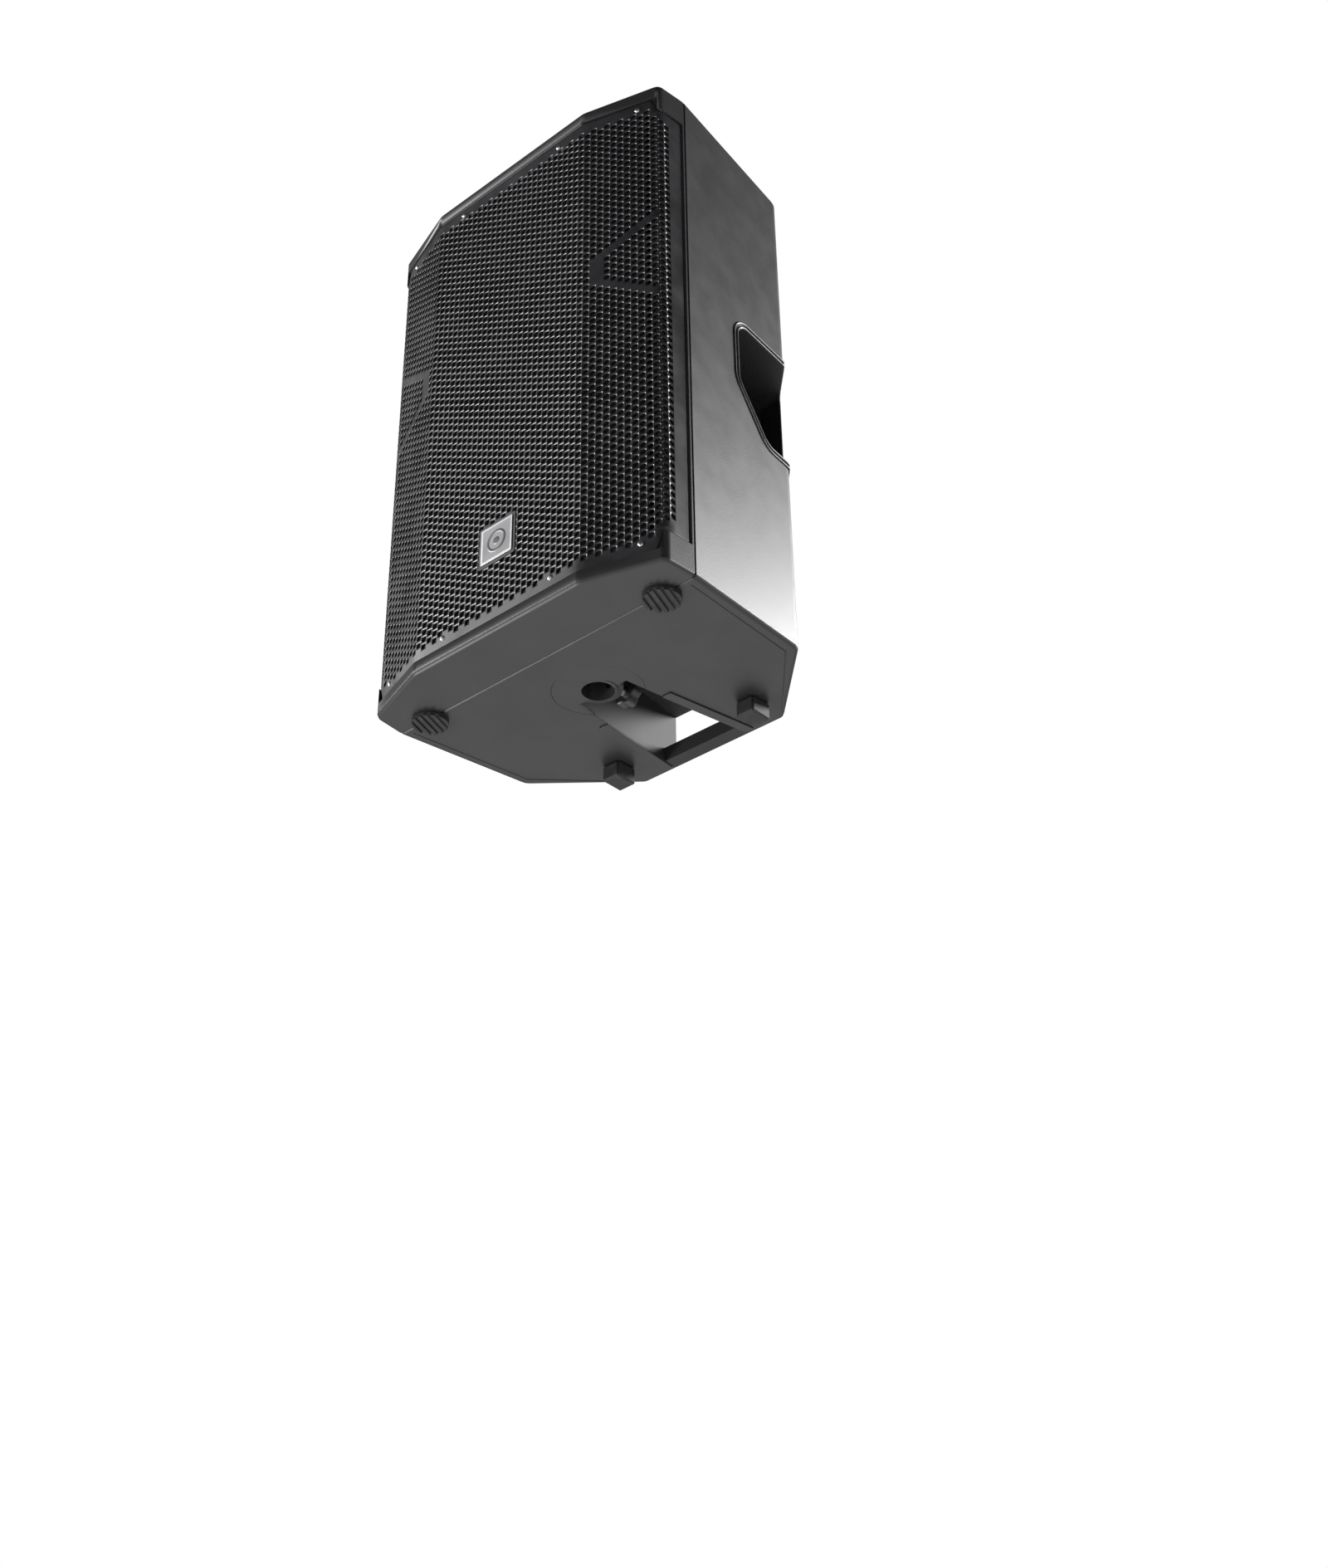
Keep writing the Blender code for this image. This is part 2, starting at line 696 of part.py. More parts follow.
def dome(radius, rise, base, steps=4):
    """(radius, height) points of a shallow dome, from its top to its edge."""
    size = (radius**2 + rise**2) / (2 * rise)
    spread = atan2(radius, size - rise)
    points = []
    for step in range(steps + 1):
        angle = spread * step / steps
        points.append((size * sin(angle), base + rise - size * (1 - cos(angle))))
    return points


def make_woofer():
    at = (0.0, 0.0, WOOFER_Z)
    ring = [(193, 35), (193, 30.3), (175.5, 30.3), (171, 16), (104, -56), (104, -64), (60, -64), (60, -60)]
    ring += [(98, -60), (98, -54), (165, 18), (168, 35)]
    basket = lathe("woofer_basket", ring, black_steel(), at)
    windows = 4
    for step in range(windows):
        window = box((-40, 10, 90), (40, 44, 200))
        turn = Matrix.Rotation(2 * pi * step / windows, 4, "Y")
        place = Matrix.Translation((0, 0, WOOFER_Z)) @ turn
        bmesh.ops.transform(window, matrix=place, verts=window.verts)
        cut(basket, window)

    steel = finish("zinc_steel", (0.45, 0.45, 0.47), 0.35, 1.0)
    ferrite = finish("ferrite", (0.05, 0.05, 0.05), 0.6)
    lathe("woofer_top_plate", [(85, -64.3), (85, -74.3), (39.7, -74.3), (39.7, -64.3)], steel, at)
    lathe("woofer_magnet_ring", [(95, -74.6), (95, -96.6), (55, -96.6), (55, -74.6)], ferrite, at)
    pole = [(35.8, -64), (35.8, -96.9), (85, -96.9), (85, -106.9), (15, -106.9), (15, -64)]
    lathe("woofer_back_plate", pole, steel, at)

    roll = arc(161.5, 37.5, 9.2, 0, 180)
    under = arc(161.5, 37.5, 8.0, 180, 0)
    surround = [(180, 36.5), (180, 35.3)] + under[::-1] + [(146, 37.8), (146, 38.8)] + roll[::-1]
    lathe("woofer_surround", surround, rubber(), at)
    cone = [(152, 37.5), (152, 36.2), (39, -21.5), (39, -20.0)]
    lathe("woofer_cone", cone, paper(), at)
    cap = dome(55, 16, -11.4) + dome(54, 15.0, -11.4)[::-1]
    lathe("woofer_dust_cap", cap, paper(), at)
    coil = [(38.4, -19), (38.4, -78), (37.2, -78), (37.2, -19)]
    lathe("woofer_voice_coil", coil, finish("copper", (0.6, 0.3, 0.15), 0.35, 1.0), at)
    waves, pitch, swing, cloth = 8, 10.0, 1.2, 0.9
    top = [(112 - pitch * step, -34.4 + (swing if step % 2 else -swing)) for step in range(waves)]
    bottom = [(radius, height - cloth) for radius, height in top]
    spider = bottom[::-1] + top
    lathe("woofer_spider", spider, finish("spider_cloth", (0.5, 0.4, 0.2), 0.9), at, FORWARD, 32)


# ---------------------------------------------------------------- horn, driver and ports


def make_horn():
    """A loft from the wide mouth to the round throat, with its flange in the same sheet."""
    sections = [
        (140, 94, 8, -33.3),
        (126, 82, 6, -33.3),
        (122, 78, 6, -29.0),
        (96, 62, 5, -8.0),
        (62, 44, 4, 18.0),
        (32, 27, 3, 42.0),
        (15, 15, 2, 60.0),
    ]
    bm = bmesh.new()
    rings = []
    for half_width, half_height, power, y in sections:
        points = superellipse(half_width, half_height, power)
        rings.append([bm.verts.new((x, y, z)) for x, z in points])
    for outer, inner in zip(rings, rings[1:]):
        for index in range(len(outer)):
            after = (index + 1) % len(outer)
            bm.faces.new((outer[index], outer[after], inner[after], inner[index]))
    horn = make_object("horn", bm, control_plastic(), (0, 0, HORN_Z))
    solidify = horn.modifiers.new("thickness", "SOLIDIFY")
    solidify.thickness = 2.7 * MM
    solidify.offset = -1.0
    return horn


def make_driver():
    at = (0.0, 0.0, HORN_Z)
    magnet = [(50, -62.3), (50, -94), (30, -94), (13, -84), (13, -62.3)]
    lathe("driver_magnet", magnet, black_steel(), at, FORWARD, 28)
    rim = [(40, -94.6), (40, -95.2), (28, -95.2)]
    back = [(radius, -height) for radius, height in dome(28, 9, 95.2)]
    front = [(radius, -height) for radius, height in dome(27.4, 9, 94.6)]
    lathe("driver_diaphragm", front + rim + back[::-1][1:], bright_metal(), at, FORWARD, 24)
    cover = [(0, -114), (42, -114), (42, -94.3), (50, -94.3), (50, -118), (0, -118)]
    lathe("driver_cover", cover, control_plastic(), at, FORWARD, 28)


def make_ports():
    for side, name in ((-1, "left"), (1, "right")):
        tube = [(33, 32.6), (33, 30.3), (27, 30.3), (27, -60), (24.5, -60), (24.5, 32.6)]
        lathe(f"port_tube_{name}", tube, control_plastic(), (side * PORT_X, 0, PORT_Z), FORWARD, 24)


# ---------------------------------------------------------------- amplifier


def on_panel(place):
    """World (x, z) of a place written as someone behind the speaker sees it."""
    return -place[0], place[1]


def panel_hole(place, radius=None, half=None):
    """A round or a rectangular hole through the amplifier panel."""
    low, high = PANEL_FACE - PANEL_THICKNESS - 1, PANEL_FACE + 1
    x, z = place
    if radius:
        return cylinder(radius, low, high, "Y", place, 24 if radius > 5 else 12)
    return box((x - half[0], low, z - half[1]), (x + half[0], high, z + half[1]))


def panel_screw_places():
    return [(x, z) for z in (AMP_LOW + 7, AMP_HIGH - 7) for x in (-84.0, 84.0)]


def make_amp_panel():
    margin = 0.5
    low = (-AMP_HALF_WIDTH + margin, AMP_LOW + margin)
    high = (AMP_HALF_WIDTH - margin, AMP_HIGH - margin)
    plate = prism(rounded(rectangle(low, high, 3)), PANEL_FACE - PANEL_THICKNESS, PANEL_FACE, "Y")
    panel = make_object("amp_panel", plate, black_steel())
    holes = [panel_hole(on_panel(place), 3.5) for place in KNOBS.values()]
    holes += [panel_hole(on_panel(place), 12.2) for place in (*INPUTS.values(), LINK)]
    for place in INPUTS.values():
        x, z = on_panel(place)
        holes.append(panel_hole((x, z + LATCH_RISE), half=(4.3, 2.3)))
    holes.append(panel_hole(on_panel(BUTTON), 4.5))
    holes.append(panel_hole(on_panel(LED), 2.8))
    holes.append(panel_hole(on_panel(INLET), half=(15.3, 11.8)))
    holes.append(panel_hole(on_panel(ROCKER), half=(9.5, 13.6)))
    holes += [panel_hole(place, SCREW_RADIUS + GAP) for place in panel_screw_places()]
    cut(panel, *holes)


def make_panel_screws():
    for index, (x, z) in enumerate(panel_screw_places()):
        place = (x, PANEL_FACE, z)
        lathe(f"amp_screw_{index + 1}", screw_profile(3.8, 2.6, 2.6), bright_metal(), place, REARWARD, 12)


def make_heat_sink():
    """An aluminium comb with upright fins on the outside of the panel."""
    half, low, high = 70.0, 338.0, 432.0
    seat = PANEL_FACE + GAP
    base, tip = seat + 3, REAR_DEPTH - 2.5
    fins = 12
    pitch = 2 * half / (fins - 0.5)
    comb = []
    for fin in range(fins):
        left = -half + fin * pitch
        right = left + pitch / 2
        comb += [(left, base), (left, tip), (right, tip), (right, base)]
    outline = [(-half, seat)] + comb[1:-1] + [(half, seat)]
    anodised = finish("anodised", (0.03, 0.03, 0.03), 0.4, 0.8)
    make_object("heat_sink", prism(outline, low, high), anodised)


def make_knobs():
    for name, place in KNOBS.items():
        x, z = on_panel(place)
        profile = [(0, 12), (7.2, 12), (8, 11), (9, 0.6), (3, 0.6), (3, -8), (0, -8)]
        knob = lathe(name, profile, control_plastic(), (x, PANEL_FACE, z), REARWARD, 24)
        low, high = (x - 0.7, PANEL_FACE + 11, z + 2), (x + 0.7, PANEL_FACE + 14, z + 10)
        cut(knob, box(low, high))


def make_sockets():
    profile = [(0, -12), (10, -12), (10, 2), (14, 2), (14, GAP), (11.8, GAP), (11.8, -18), (0, -18)]
    sockets = {f"combo_input_{label}": place for label, place in INPUTS.items()}
    sockets["link_output"] = LINK
    for name, place in sockets.items():
        x, z = on_panel(place)
        lathe(name, profile, control_plastic(), (x, PANEL_FACE, z), REARWARD, 24)
    for label, place in INPUTS.items():
        x, z = on_panel(place)
        z += LATCH_RISE
        tab = box((x - 4, PANEL_FACE - 7, z - 2), (x + 4, PANEL_FACE + 3.5, z + 2))
        bevel(make_object(f"combo_latch_{label}", tab, bright_metal()), 0.5, 1)


def make_switches():
    x, z = on_panel(BUTTON)
    button = [(0, 5), (3.4, 5), (4, 4.4), (4, -6), (0, -6)]
    lathe("mic_line_button", button, control_plastic(), (x, PANEL_FACE, z), REARWARD, 16)

    x, z = on_panel(LED)
    lens = dome(2.5, 1.5, 0.5, 3) + [(2.5, -4), (0, -4)]
    green = finish("green_lens", (0.1, 0.5, 0.15), 0.2)
    lathe("status_led", lens, green, (x, PANEL_FACE, z), REARWARD, 12)

    x, z = on_panel(ROCKER)
    outline = [(4.4, -12), (2.6, 0), (4.4, 12), (-1, 12.3), (-7, 4), (-7, -4), (-1, -12.3)]
    rocker = prism(outline, -9, 9, "X")
    tilt = Matrix.Rotation(radians(-ROCKER_TILT), 3, "X")
    bmesh.ops.rotate(rocker, matrix=tilt, verts=rocker.verts)
    make_object("power_rocker", rocker, control_plastic(), (x, PANEL_FACE - 2, z))


def make_mains_inlet():
    x, z = on_panel(INLET)
    body = box((x - 15, PANEL_FACE - 19, z - 11.5), (x + 15, PANEL_FACE + 2, z + 11.5))
    inlet = make_object("mains_inlet", body, control_plastic())
    cut(inlet, box((x - 12, PANEL_FACE - 15, z - 8.5), (x + 12, PANEL_FACE + 3, z + 8.5)))


def make_electronics():
    board = box((-74, 231, 112), (74, 233, 330))
    make_object("amp_board", board, finish("circuit_board", (0.02, 0.12, 0.05), 0.5))
    ring = [(46, 27), (46, 5), (42, 0), (22, 0), (18, 5), (18, 31), (22, 35.7), (42, 35.7), (46, 31)]
    winding = finish("winding", (0.35, 0.3, 0.1), 0.5)
    lathe("mains_transformer", ring, winding, (-20, 195, 165), REARWARD, 28)


def main():
    clear_scene()
    make_front_shell()
    make_rear_shell()
    make_handle_cups()
    make_rigging_inserts()
    make_grille()
    make_foam()
    make_grille_screws()
    make_badge()
    make_feet()
    make_pole_cup()
    make_pole_lock()
    make_woofer()
    make_horn()
    make_driver()
    make_ports()
    make_amp_panel()
    make_panel_screws()
    make_heat_sink()
    make_knobs()
    make_sockets()
    make_switches()
    make_mains_inlet()
    make_electronics()


main()
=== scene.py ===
"""A moulded PA loudspeaker seen from below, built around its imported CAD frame."""

import json
from math import atan2, copysign, cos, hypot, pi, radians, sin, tan

import bmesh
import bpy
from mathutils import Matrix, Vector


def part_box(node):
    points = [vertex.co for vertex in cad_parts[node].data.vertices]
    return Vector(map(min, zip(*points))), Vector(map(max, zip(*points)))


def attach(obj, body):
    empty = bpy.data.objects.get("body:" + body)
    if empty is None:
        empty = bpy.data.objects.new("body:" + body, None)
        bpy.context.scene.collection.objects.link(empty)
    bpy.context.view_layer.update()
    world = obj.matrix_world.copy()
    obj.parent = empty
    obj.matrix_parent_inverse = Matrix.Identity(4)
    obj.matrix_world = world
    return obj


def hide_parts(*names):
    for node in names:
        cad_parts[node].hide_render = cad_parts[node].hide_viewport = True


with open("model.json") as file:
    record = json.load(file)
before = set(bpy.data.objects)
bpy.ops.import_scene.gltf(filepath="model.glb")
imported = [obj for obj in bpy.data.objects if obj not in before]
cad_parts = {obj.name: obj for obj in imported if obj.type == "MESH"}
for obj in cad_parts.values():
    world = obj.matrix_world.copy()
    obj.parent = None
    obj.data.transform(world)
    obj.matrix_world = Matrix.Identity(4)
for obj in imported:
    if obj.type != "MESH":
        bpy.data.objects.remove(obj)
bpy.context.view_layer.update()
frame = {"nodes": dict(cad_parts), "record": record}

MM = 0.001
# The datum: the joint between the shells, at the underside of the cabinet.
DATUM = Vector((0.0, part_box("rear_shell")[0].y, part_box("front_shell")[0].z))

# Outline of the front shell in plan, in millimetres from the datum
HALF_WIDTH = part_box("front_shell")[1].x / MM
FRONT_DEPTH = -(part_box("front_shell")[0].y - DATUM.y) / MM
REAR_DEPTH = (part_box("rear_shell")[1].y - DATUM.y) / MM
FRONT_CORNER = (209.0, 40.0)
FRONT_KINK = 118.0
FACET_TILT = atan2(FRONT_DEPTH - FRONT_CORNER[1], FRONT_CORNER[0] - FRONT_KINK)
SIDE_KINK = (199.7, 180.1)
REAR_HALF_WIDTH = 101.6
FLOOR_RISE = 0.0644

GRILLE_INSET = 2.0
GRILLE_THICKNESS = 1.5
FLANGE_END = 5.6
HOLE_ACROSS, HOLE_UP = 8.2, 9.4
HOLE_RADIUS = 3.35
HOLE_LOW, HOLE_HIGH = 33.0, 642.0
FLANGE_HOLE_LOW, FLANGE_HOLE_HIGH = 53.0, 622.0
GRILLE_SCREWS_ACROSS = (-182.0, -78.0, 78.0, 182.0)
GRILLE_SCREWS_LOW, GRILLE_SCREWS_HIGH = 30.0, 647.5
PANEL_FACE = (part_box("amp_panel")[1].y - DATUM.y) / MM

# The cable bay: where its walls start behind the joint, and how they spread towards the rear
BAY_START, BAY_DEPTH, BAY_TOP = 0.095, 0.1828, 0.094
BAY_HALF_WIDTH, BAY_SPREAD = 0.0348, 0.1112
JOINT_GROOVE = 1.2


def at(x, y, z):
    """A place in metres from millimetres measured from the datum."""
    return DATUM + Vector((x, y, z)) * MM


# ---------------------------------------------------------------- materials


class Nodes:
    """A material's node tree, with short calls for what the finishes share."""

    def __init__(self, name):
        self.material = bpy.data.materials.new(name)
        self.material.use_nodes = True
        self.tree = self.material.node_tree
        self.shader = self.tree.nodes["Principled BSDF"]
        self.place = self.add("ShaderNodeTexCoord").outputs["Object"]

    def add(self, kind, **settings):
        node = self.tree.nodes.new(kind)
        for key, value in settings.items():
            setattr(node, key, value)
        return node

    def link(self, source, target):
        self.tree.links.new(source, target)

    def put(self, socket, value):
        """Links a socket to an output, or sets it to a plain value."""
        if isinstance(value, bpy.types.NodeSocket):
            self.link(value, socket)
        else:
            socket.default_value = value

    def stretched(self, scale):
        mapping = self.add("ShaderNodeMapping")
        self.link(self.place, mapping.inputs["Vector"])
        mapping.inputs["Scale"].default_value = scale
        return mapping.outputs["Vector"]

    def noise(self, scale, detail=2.0, vector=None, distortion=0.0):
        node = self.add("ShaderNodeTexNoise")
        self.link(vector or self.place, node.inputs["Vector"])
        node.inputs["Scale"].default_value = scale
        node.inputs["Detail"].default_value = detail
        node.inputs["Distortion"].default_value = distortion
        return node.outputs["Fac"]

    def cells(self, scale, feature="F1"):
        node = self.add("ShaderNodeTexVoronoi", feature=feature)
        self.link(self.place, node.inputs["Vector"])
        node.inputs["Scale"].default_value = scale
        return node.outputs["Distance"]

    def spread(self, value, low, high, to_low, to_high):
        node = self.add("ShaderNodeMapRange")
        self.put(node.inputs["Value"], value)
        for key, number in (
            ("From Min", low),
            ("From Max", high),
            ("To Min", to_low),
            ("To Max", to_high),
        ):
            node.inputs[key].default_value = number
        return node.outputs["Result"]

    def maths(self, operation, a, b=0.0):
        node = self.add("ShaderNodeMath", operation=operation)
        self.put(node.inputs[0], a)
        self.put(node.inputs[1], b)
        return node.outputs[0]

    def mix(self, factor, a, b):
        node = self.add("ShaderNodeMix", data_type="RGBA")
        self.put(node.inputs["Factor"], factor)
        self.put(node.inputs["A"], a if isinstance(a, bpy.types.NodeSocket) else (*a, 1.0))
        self.put(node.inputs["B"], b if isinstance(b, bpy.types.NodeSocket) else (*b, 1.0))
        return node.outputs["Result"]

    def bump(self, height, strength, distance, normal=None):
        node = self.add("ShaderNodeBump")
        self.link(height, node.inputs["Height"])
        node.inputs["Strength"].default_value = strength
        node.inputs["Distance"].default_value = distance
        if normal:
            self.link(normal, node.inputs["Normal"])
        return node.outputs["Normal"]

    def soft_edges(self, radius):
        """(normal with rounded edges, mask that is 1 on an edge and 0 on a flat)."""
        rounded_edge = self.add("ShaderNodeBevel", samples=4)
        rounded_edge.inputs["Radius"].default_value = radius
        geometry = self.add("ShaderNodeNewGeometry")
        dot = self.add("ShaderNodeVectorMath", operation="DOT_PRODUCT")
        self.link(rounded_edge.outputs["Normal"], dot.inputs[0])
        self.link(geometry.outputs["Normal"], dot.inputs[1])
        return rounded_edge.outputs["Normal"], self.spread(dot.outputs["Value"], 1.0, 0.8, 0.0, 1.0)

    def set(self, **values):
        for key, value in values.items():
            self.put(self.shader.inputs[key.replace("_", " ")], value)
        return self.material


def shade(colour, factor):
    return tuple(channel * factor for channel in colour)


def moulded(name, colour, rough=0.45, grain=700.0, depth=0.00012, edge=0.0008, seam=False):
    """Moulded plastic: leather grain, faint mottling, and edges worn lighter.

    With seam, the joint between the shells is painted near black as painted shade in the groove, and
    the cable bay's walls are duller, and darker with painted shade, as they look in the photograph.
    """
    n = Nodes(name)
    normal, worn = n.soft_edges(edge)
    grain_cells = n.cells(grain)
    pores = n.noise(grain * 2.2, 3.0)
    height = n.maths("ADD", grain_cells, n.maths("MULTIPLY", pores, 0.6))
    mottle = n.noise(14.0, 4.0)
    base = n.mix(n.spread(mottle, 0.35, 0.65, 0.0, 1.0), shade(colour, 0.85), shade(colour, 1.15))
    base = n.mix(n.spread(pores, 0.3, 0.7, 0.0, 0.35), base, shade(colour, 0.6))
    scuffs = n.spread(n.noise(90.0, 6.0), 0.45, 0.75, 0.0, 1.0)
    wear = n.maths("MULTIPLY", n.maths("MULTIPLY", worn, scuffs), 0.5)
    base = n.mix(wear, base, shade(colour, 2.6))
    roughness = n.spread(n.noise(35.0, 5.0), 0.3, 0.7, rough - 0.02, rough + 0.03)
    if seam:
        split = n.add("ShaderNodeSeparateXYZ")
        n.link(n.place, split.inputs[0])
        across, behind, height_up = (split.outputs[axis] for axis in "XYZ")
        # painted shade: a near-black line along the joint between the shells stands for the shade in
        # the groove
        away = n.maths("ABSOLUTE", n.maths("SUBTRACT", behind, DATUM.y))
        groove_shade = n.spread(away, 0.0011, 0.0014, 1.0, 0.0)
        base = n.mix(groove_shade, base, (0.002, 0.002, 0.002))
        depth_in = n.maths("SUBTRACT", behind, DATUM.y + BAY_START)
        reach = n.maths("ADD", n.maths("MULTIPLY", depth_in, BAY_SPREAD), BAY_HALF_WIDTH)
        inside = n.maths("LESS_THAN", n.maths("ABSOLUTE", across), reach)
        inside = n.maths("MULTIPLY", inside, n.maths("LESS_THAN", height_up, BAY_TOP))
        inside = n.maths("MULTIPLY", inside, n.maths("GREATER_THAN", depth_in, -0.001))
        inside = n.maths("MULTIPLY", inside, n.maths("LESS_THAN", depth_in, BAY_DEPTH))
        dull = n.add("ShaderNodeMix")
        n.link(inside, dull.inputs["Factor"])
        n.link(roughness, dull.inputs["A"])
        dull.inputs["B"].default_value = 0.72
        roughness = dull.outputs["Result"]
        # painted shade: the cable bay's walls are darkened in colour as shade inside the recess; the
        # duller roughness above is the finish
        base = n.mix(n.maths("MULTIPLY", inside, 0.5), base, (0.008, 0.008, 0.008))
    return n.set(
        Base_Color=base,
        Roughness=roughness,
        Normal=n.bump(height, 0.35, depth, normal),
    )


def powder_coat(name, colour, rough=0.42, dust=(0.09, 0.09, 0.095)):
    """Baked powder paint: fine orange peel, a little dust and small light specks."""
    n = Nodes(name)
    peel = n.noise(1100.0, 2.0)
    broad = n.noise(22.0, 5.0)
    base = n.mix(n.spread(broad, 0.4, 0.62, 0.0, 0.45), colour, dust)
    speck = n.spread(n.noise(2600.0, 1.0), 0.62, 0.75, 0.0, 0.5)
    base = n.mix(speck, base, shade(colour, 2.2))
    roughness = n.spread(broad, 0.3, 0.7, rough - 0.06, rough + 0.1)
    return n.set(
        Base_Color=base,
        Roughness=roughness,
        Normal=n.bump(peel, 0.3, 0.00008),
    )


def metal(name, colour, rough=0.3, brushed=(1.0, 1.0, 30.0), wear=0.35):
    """Bare metal with brushed lines, stains and rubbed patches."""
    n = Nodes(name)
    lines = n.noise(260.0, 3.0, n.stretched(brushed))
    stain = n.noise(60.0, 5.0)
    base = n.mix(n.spread(stain, 0.45, 0.7, 0.0, wear), colour, shade(colour, 0.55))
    base = n.mix(n.spread(lines, 0.3, 0.7, 0.0, 0.25), base, shade(colour, 0.75))
    roughness = n.spread(lines, 0.25, 0.75, rough - 0.08, rough + 0.12)
    return n.set(
        Base_Color=base,
        Roughness=roughness,
        Metallic=1.0,
        Normal=n.bump(lines, 0.15, 0.00005),
    )


def rubbery(name, colour=(0.013, 0.013, 0.014)):
    n = Nodes(name)
    normal, worn = n.soft_edges(0.0006)
    grit = n.noise(1500.0, 4.0)
    dust = n.spread(n.noise(70.0, 6.0), 0.5, 0.75, 0.0, 0.5)
    base = n.mix(dust, colour, (0.05, 0.048, 0.045))
    base = n.mix(n.maths("MULTIPLY", worn, 0.35), base, (0.06, 0.058, 0.056))
    return n.set(
        Base_Color=base,
        Roughness=n.spread(grit, 0.3, 0.7, 0.62, 0.85),
        Normal=n.bump(grit, 0.4, 0.0001, normal),
    )


def porous(name, colour, scale=1400.0, depth=0.0006):
    """Open-cell foam."""
    n = Nodes(name)
    cell = n.cells(scale)
    base = n.mix(n.spread(cell, 0.0, 0.7, 0.0, 1.0), shade(colour, 1.6), shade(colour, 0.3))
    return n.set(Base_Color=base, Roughness=0.95, Normal=n.bump(cell, 0.9, depth))


def fibrous(name, colour, scale=420.0):
    """Pressed paper pulp or impregnated cloth."""
    n = Nodes(name)
    fibre = n.noise(scale, 6.0, None, 1.5)
    base = n.mix(n.spread(fibre, 0.35, 0.7, 0.0, 1.0), shade(colour, 0.6), shade(colour, 1.5))
    return n.set(
        Base_Color=base,
        Roughness=n.spread(fibre, 0.3, 0.7, 0.7, 0.95),
        Normal=n.bump(fibre, 0.6, 0.0002),
    )


def printed(name, colour):
    """Screen-printed ink, thin in places."""
    n = Nodes(name)
    thin = n.spread(n.noise(1800.0, 4.0), 0.55, 0.75, 0.0, 0.5)
    return n.set(
        Base_Color=n.mix(thin, colour, shade(colour, 0.45)),
        Roughness=n.spread(n.noise(500.0), 0.3, 0.7, 0.45, 0.65),
    )


def board(name):
    n = Nodes(name)
    tracks = n.cells(220.0, "DISTANCE_TO_EDGE")
    base = n.mix(n.spread(tracks, 0.02, 0.05, 1.0, 0.0), (0.01, 0.07, 0.03), (0.03, 0.16, 0.07))
    return n.set(Base_Color=base, Roughness=n.spread(n.noise(90.0), 0.3, 0.7, 0.3, 0.5))


def lens(name, colour):
    n = Nodes(name)
    cloudy = n.noise(900.0, 3.0)
    return n.set(
        Base_Color=n.mix(cloudy, shade(colour, 0.6), colour),
        Roughness=n.spread(cloudy, 0.3, 0.7, 0.12, 0.25),
        Emission_Color=(*colour, 1.0),
        Emission_Strength=0.25,
    )


BLACK = (0.020, 0.020, 0.0215)
FINISH = {
    "shell": moulded("shell_plastic_grained", (0.017, 0.017, 0.018), 0.39, seam=True),
    # painted shade: the handle pockets' plastic is darker than the shell's, standing for the shade deep
    # in the pockets
    "cup": moulded("pocket_plastic_painted_shade", (0.007, 0.007, 0.0075), 0.55),
    "black": moulded("badge_surround_black", (0.004, 0.004, 0.0045), 0.6, 1600.0, 0.00004, 0.0004),
    "field": powder_coat("badge_field_grey", (0.17, 0.17, 0.175), 0.4, (0.24, 0.24, 0.245)),
    "relief": powder_coat("badge_relief_grey", (0.045, 0.045, 0.047), 0.34, (0.08, 0.08, 0.083)),
    "control": moulded("control_plastic_smooth", BLACK, 0.34, 1600.0, 0.00004, 0.0004),
    "coat": powder_coat("grille_powder_coat", (0.011, 0.011, 0.0125), 0.36, (0.022, 0.022, 0.025)),
    "panel": powder_coat("panel_powder_coat", (0.016, 0.016, 0.018), 0.5, (0.03, 0.03, 0.032)),
    "steel": powder_coat("chassis_paint", (0.02, 0.02, 0.022)),
    "silver": metal("badge_satin_silver", (0.40, 0.40, 0.41), 0.38, (30.0, 1.0, 1.0)),
    "zinc": metal("screw_zinc", (0.55, 0.55, 0.56), 0.32),
    "nickel": metal("contact_nickel", (0.66, 0.64, 0.6), 0.25),
    "fins": metal("heat_sink_black", (0.045, 0.045, 0.048), 0.38, (1.0, 1.0, 0.05)),
    "copper": metal("voice_coil_copper", (0.6, 0.3, 0.15), 0.35, (1.0, 40.0, 1.0)),
    "titanium": metal("diaphragm_titanium", (0.55, 0.55, 0.56), 0.28),
    "ferrite": fibrous("ferrite_grey", (0.05, 0.05, 0.052), 900.0),
    "rubber": rubbery("foot_rubber"),
    "roll": rubbery("surround_rubber", (0.02, 0.02, 0.02)),
    "foam": porous("acoustic_foam", (0.006, 0.006, 0.006)),
    "paper": fibrous("cone_pulp", (0.025, 0.025, 0.025)),
    "cloth": fibrous("spider_weave", (0.4, 0.3, 0.16), 700.0),
    "winding": fibrous("winding_film", (0.3, 0.25, 0.08), 300.0),
    "board": board("board_solder_mask"),
    "print": printed("panel_print", (0.62, 0.62, 0.6)),
    "green": lens("led_green", (0.1, 0.6, 0.16)),
    # painted shade: a near-black block stands for the shade inside each screw's cross recess; it uses
    # the print finish but is no ink
    "recess": printed("screw_recess_shadow", (0.01, 0.01, 0.01)),
}


# ---------------------------------------------------------------- outlines and solids


def rounded(corners, steps=6):
    points = []
    count = len(corners)
    for index, (a, b, radius) in enumerate(corners):
        if radius <= 0:
            points.append((a, b))
            continue
        here = Vector((a, b))
        back = (Vector(corners[index - 1][:2]) - here).normalized()
        ahead = (Vector(corners[(index + 1) % count][:2]) - here).normalized()
        half = back.angle(ahead) / 2
        centre = here + (back + ahead).normalized() * radius / sin(half)
        start = here + back * radius / tan(half) - centre
        end = here + ahead * radius / tan(half) - centre
        first = atan2(start.y, start.x)
        turn = (atan2(end.y, end.x) - first + pi) % (2 * pi) - pi
        for step in range(steps + 1):
            angle = first + turn * step / steps
            points.append((centre.x + radius * cos(angle), centre.y + radius * sin(angle)))
    return points


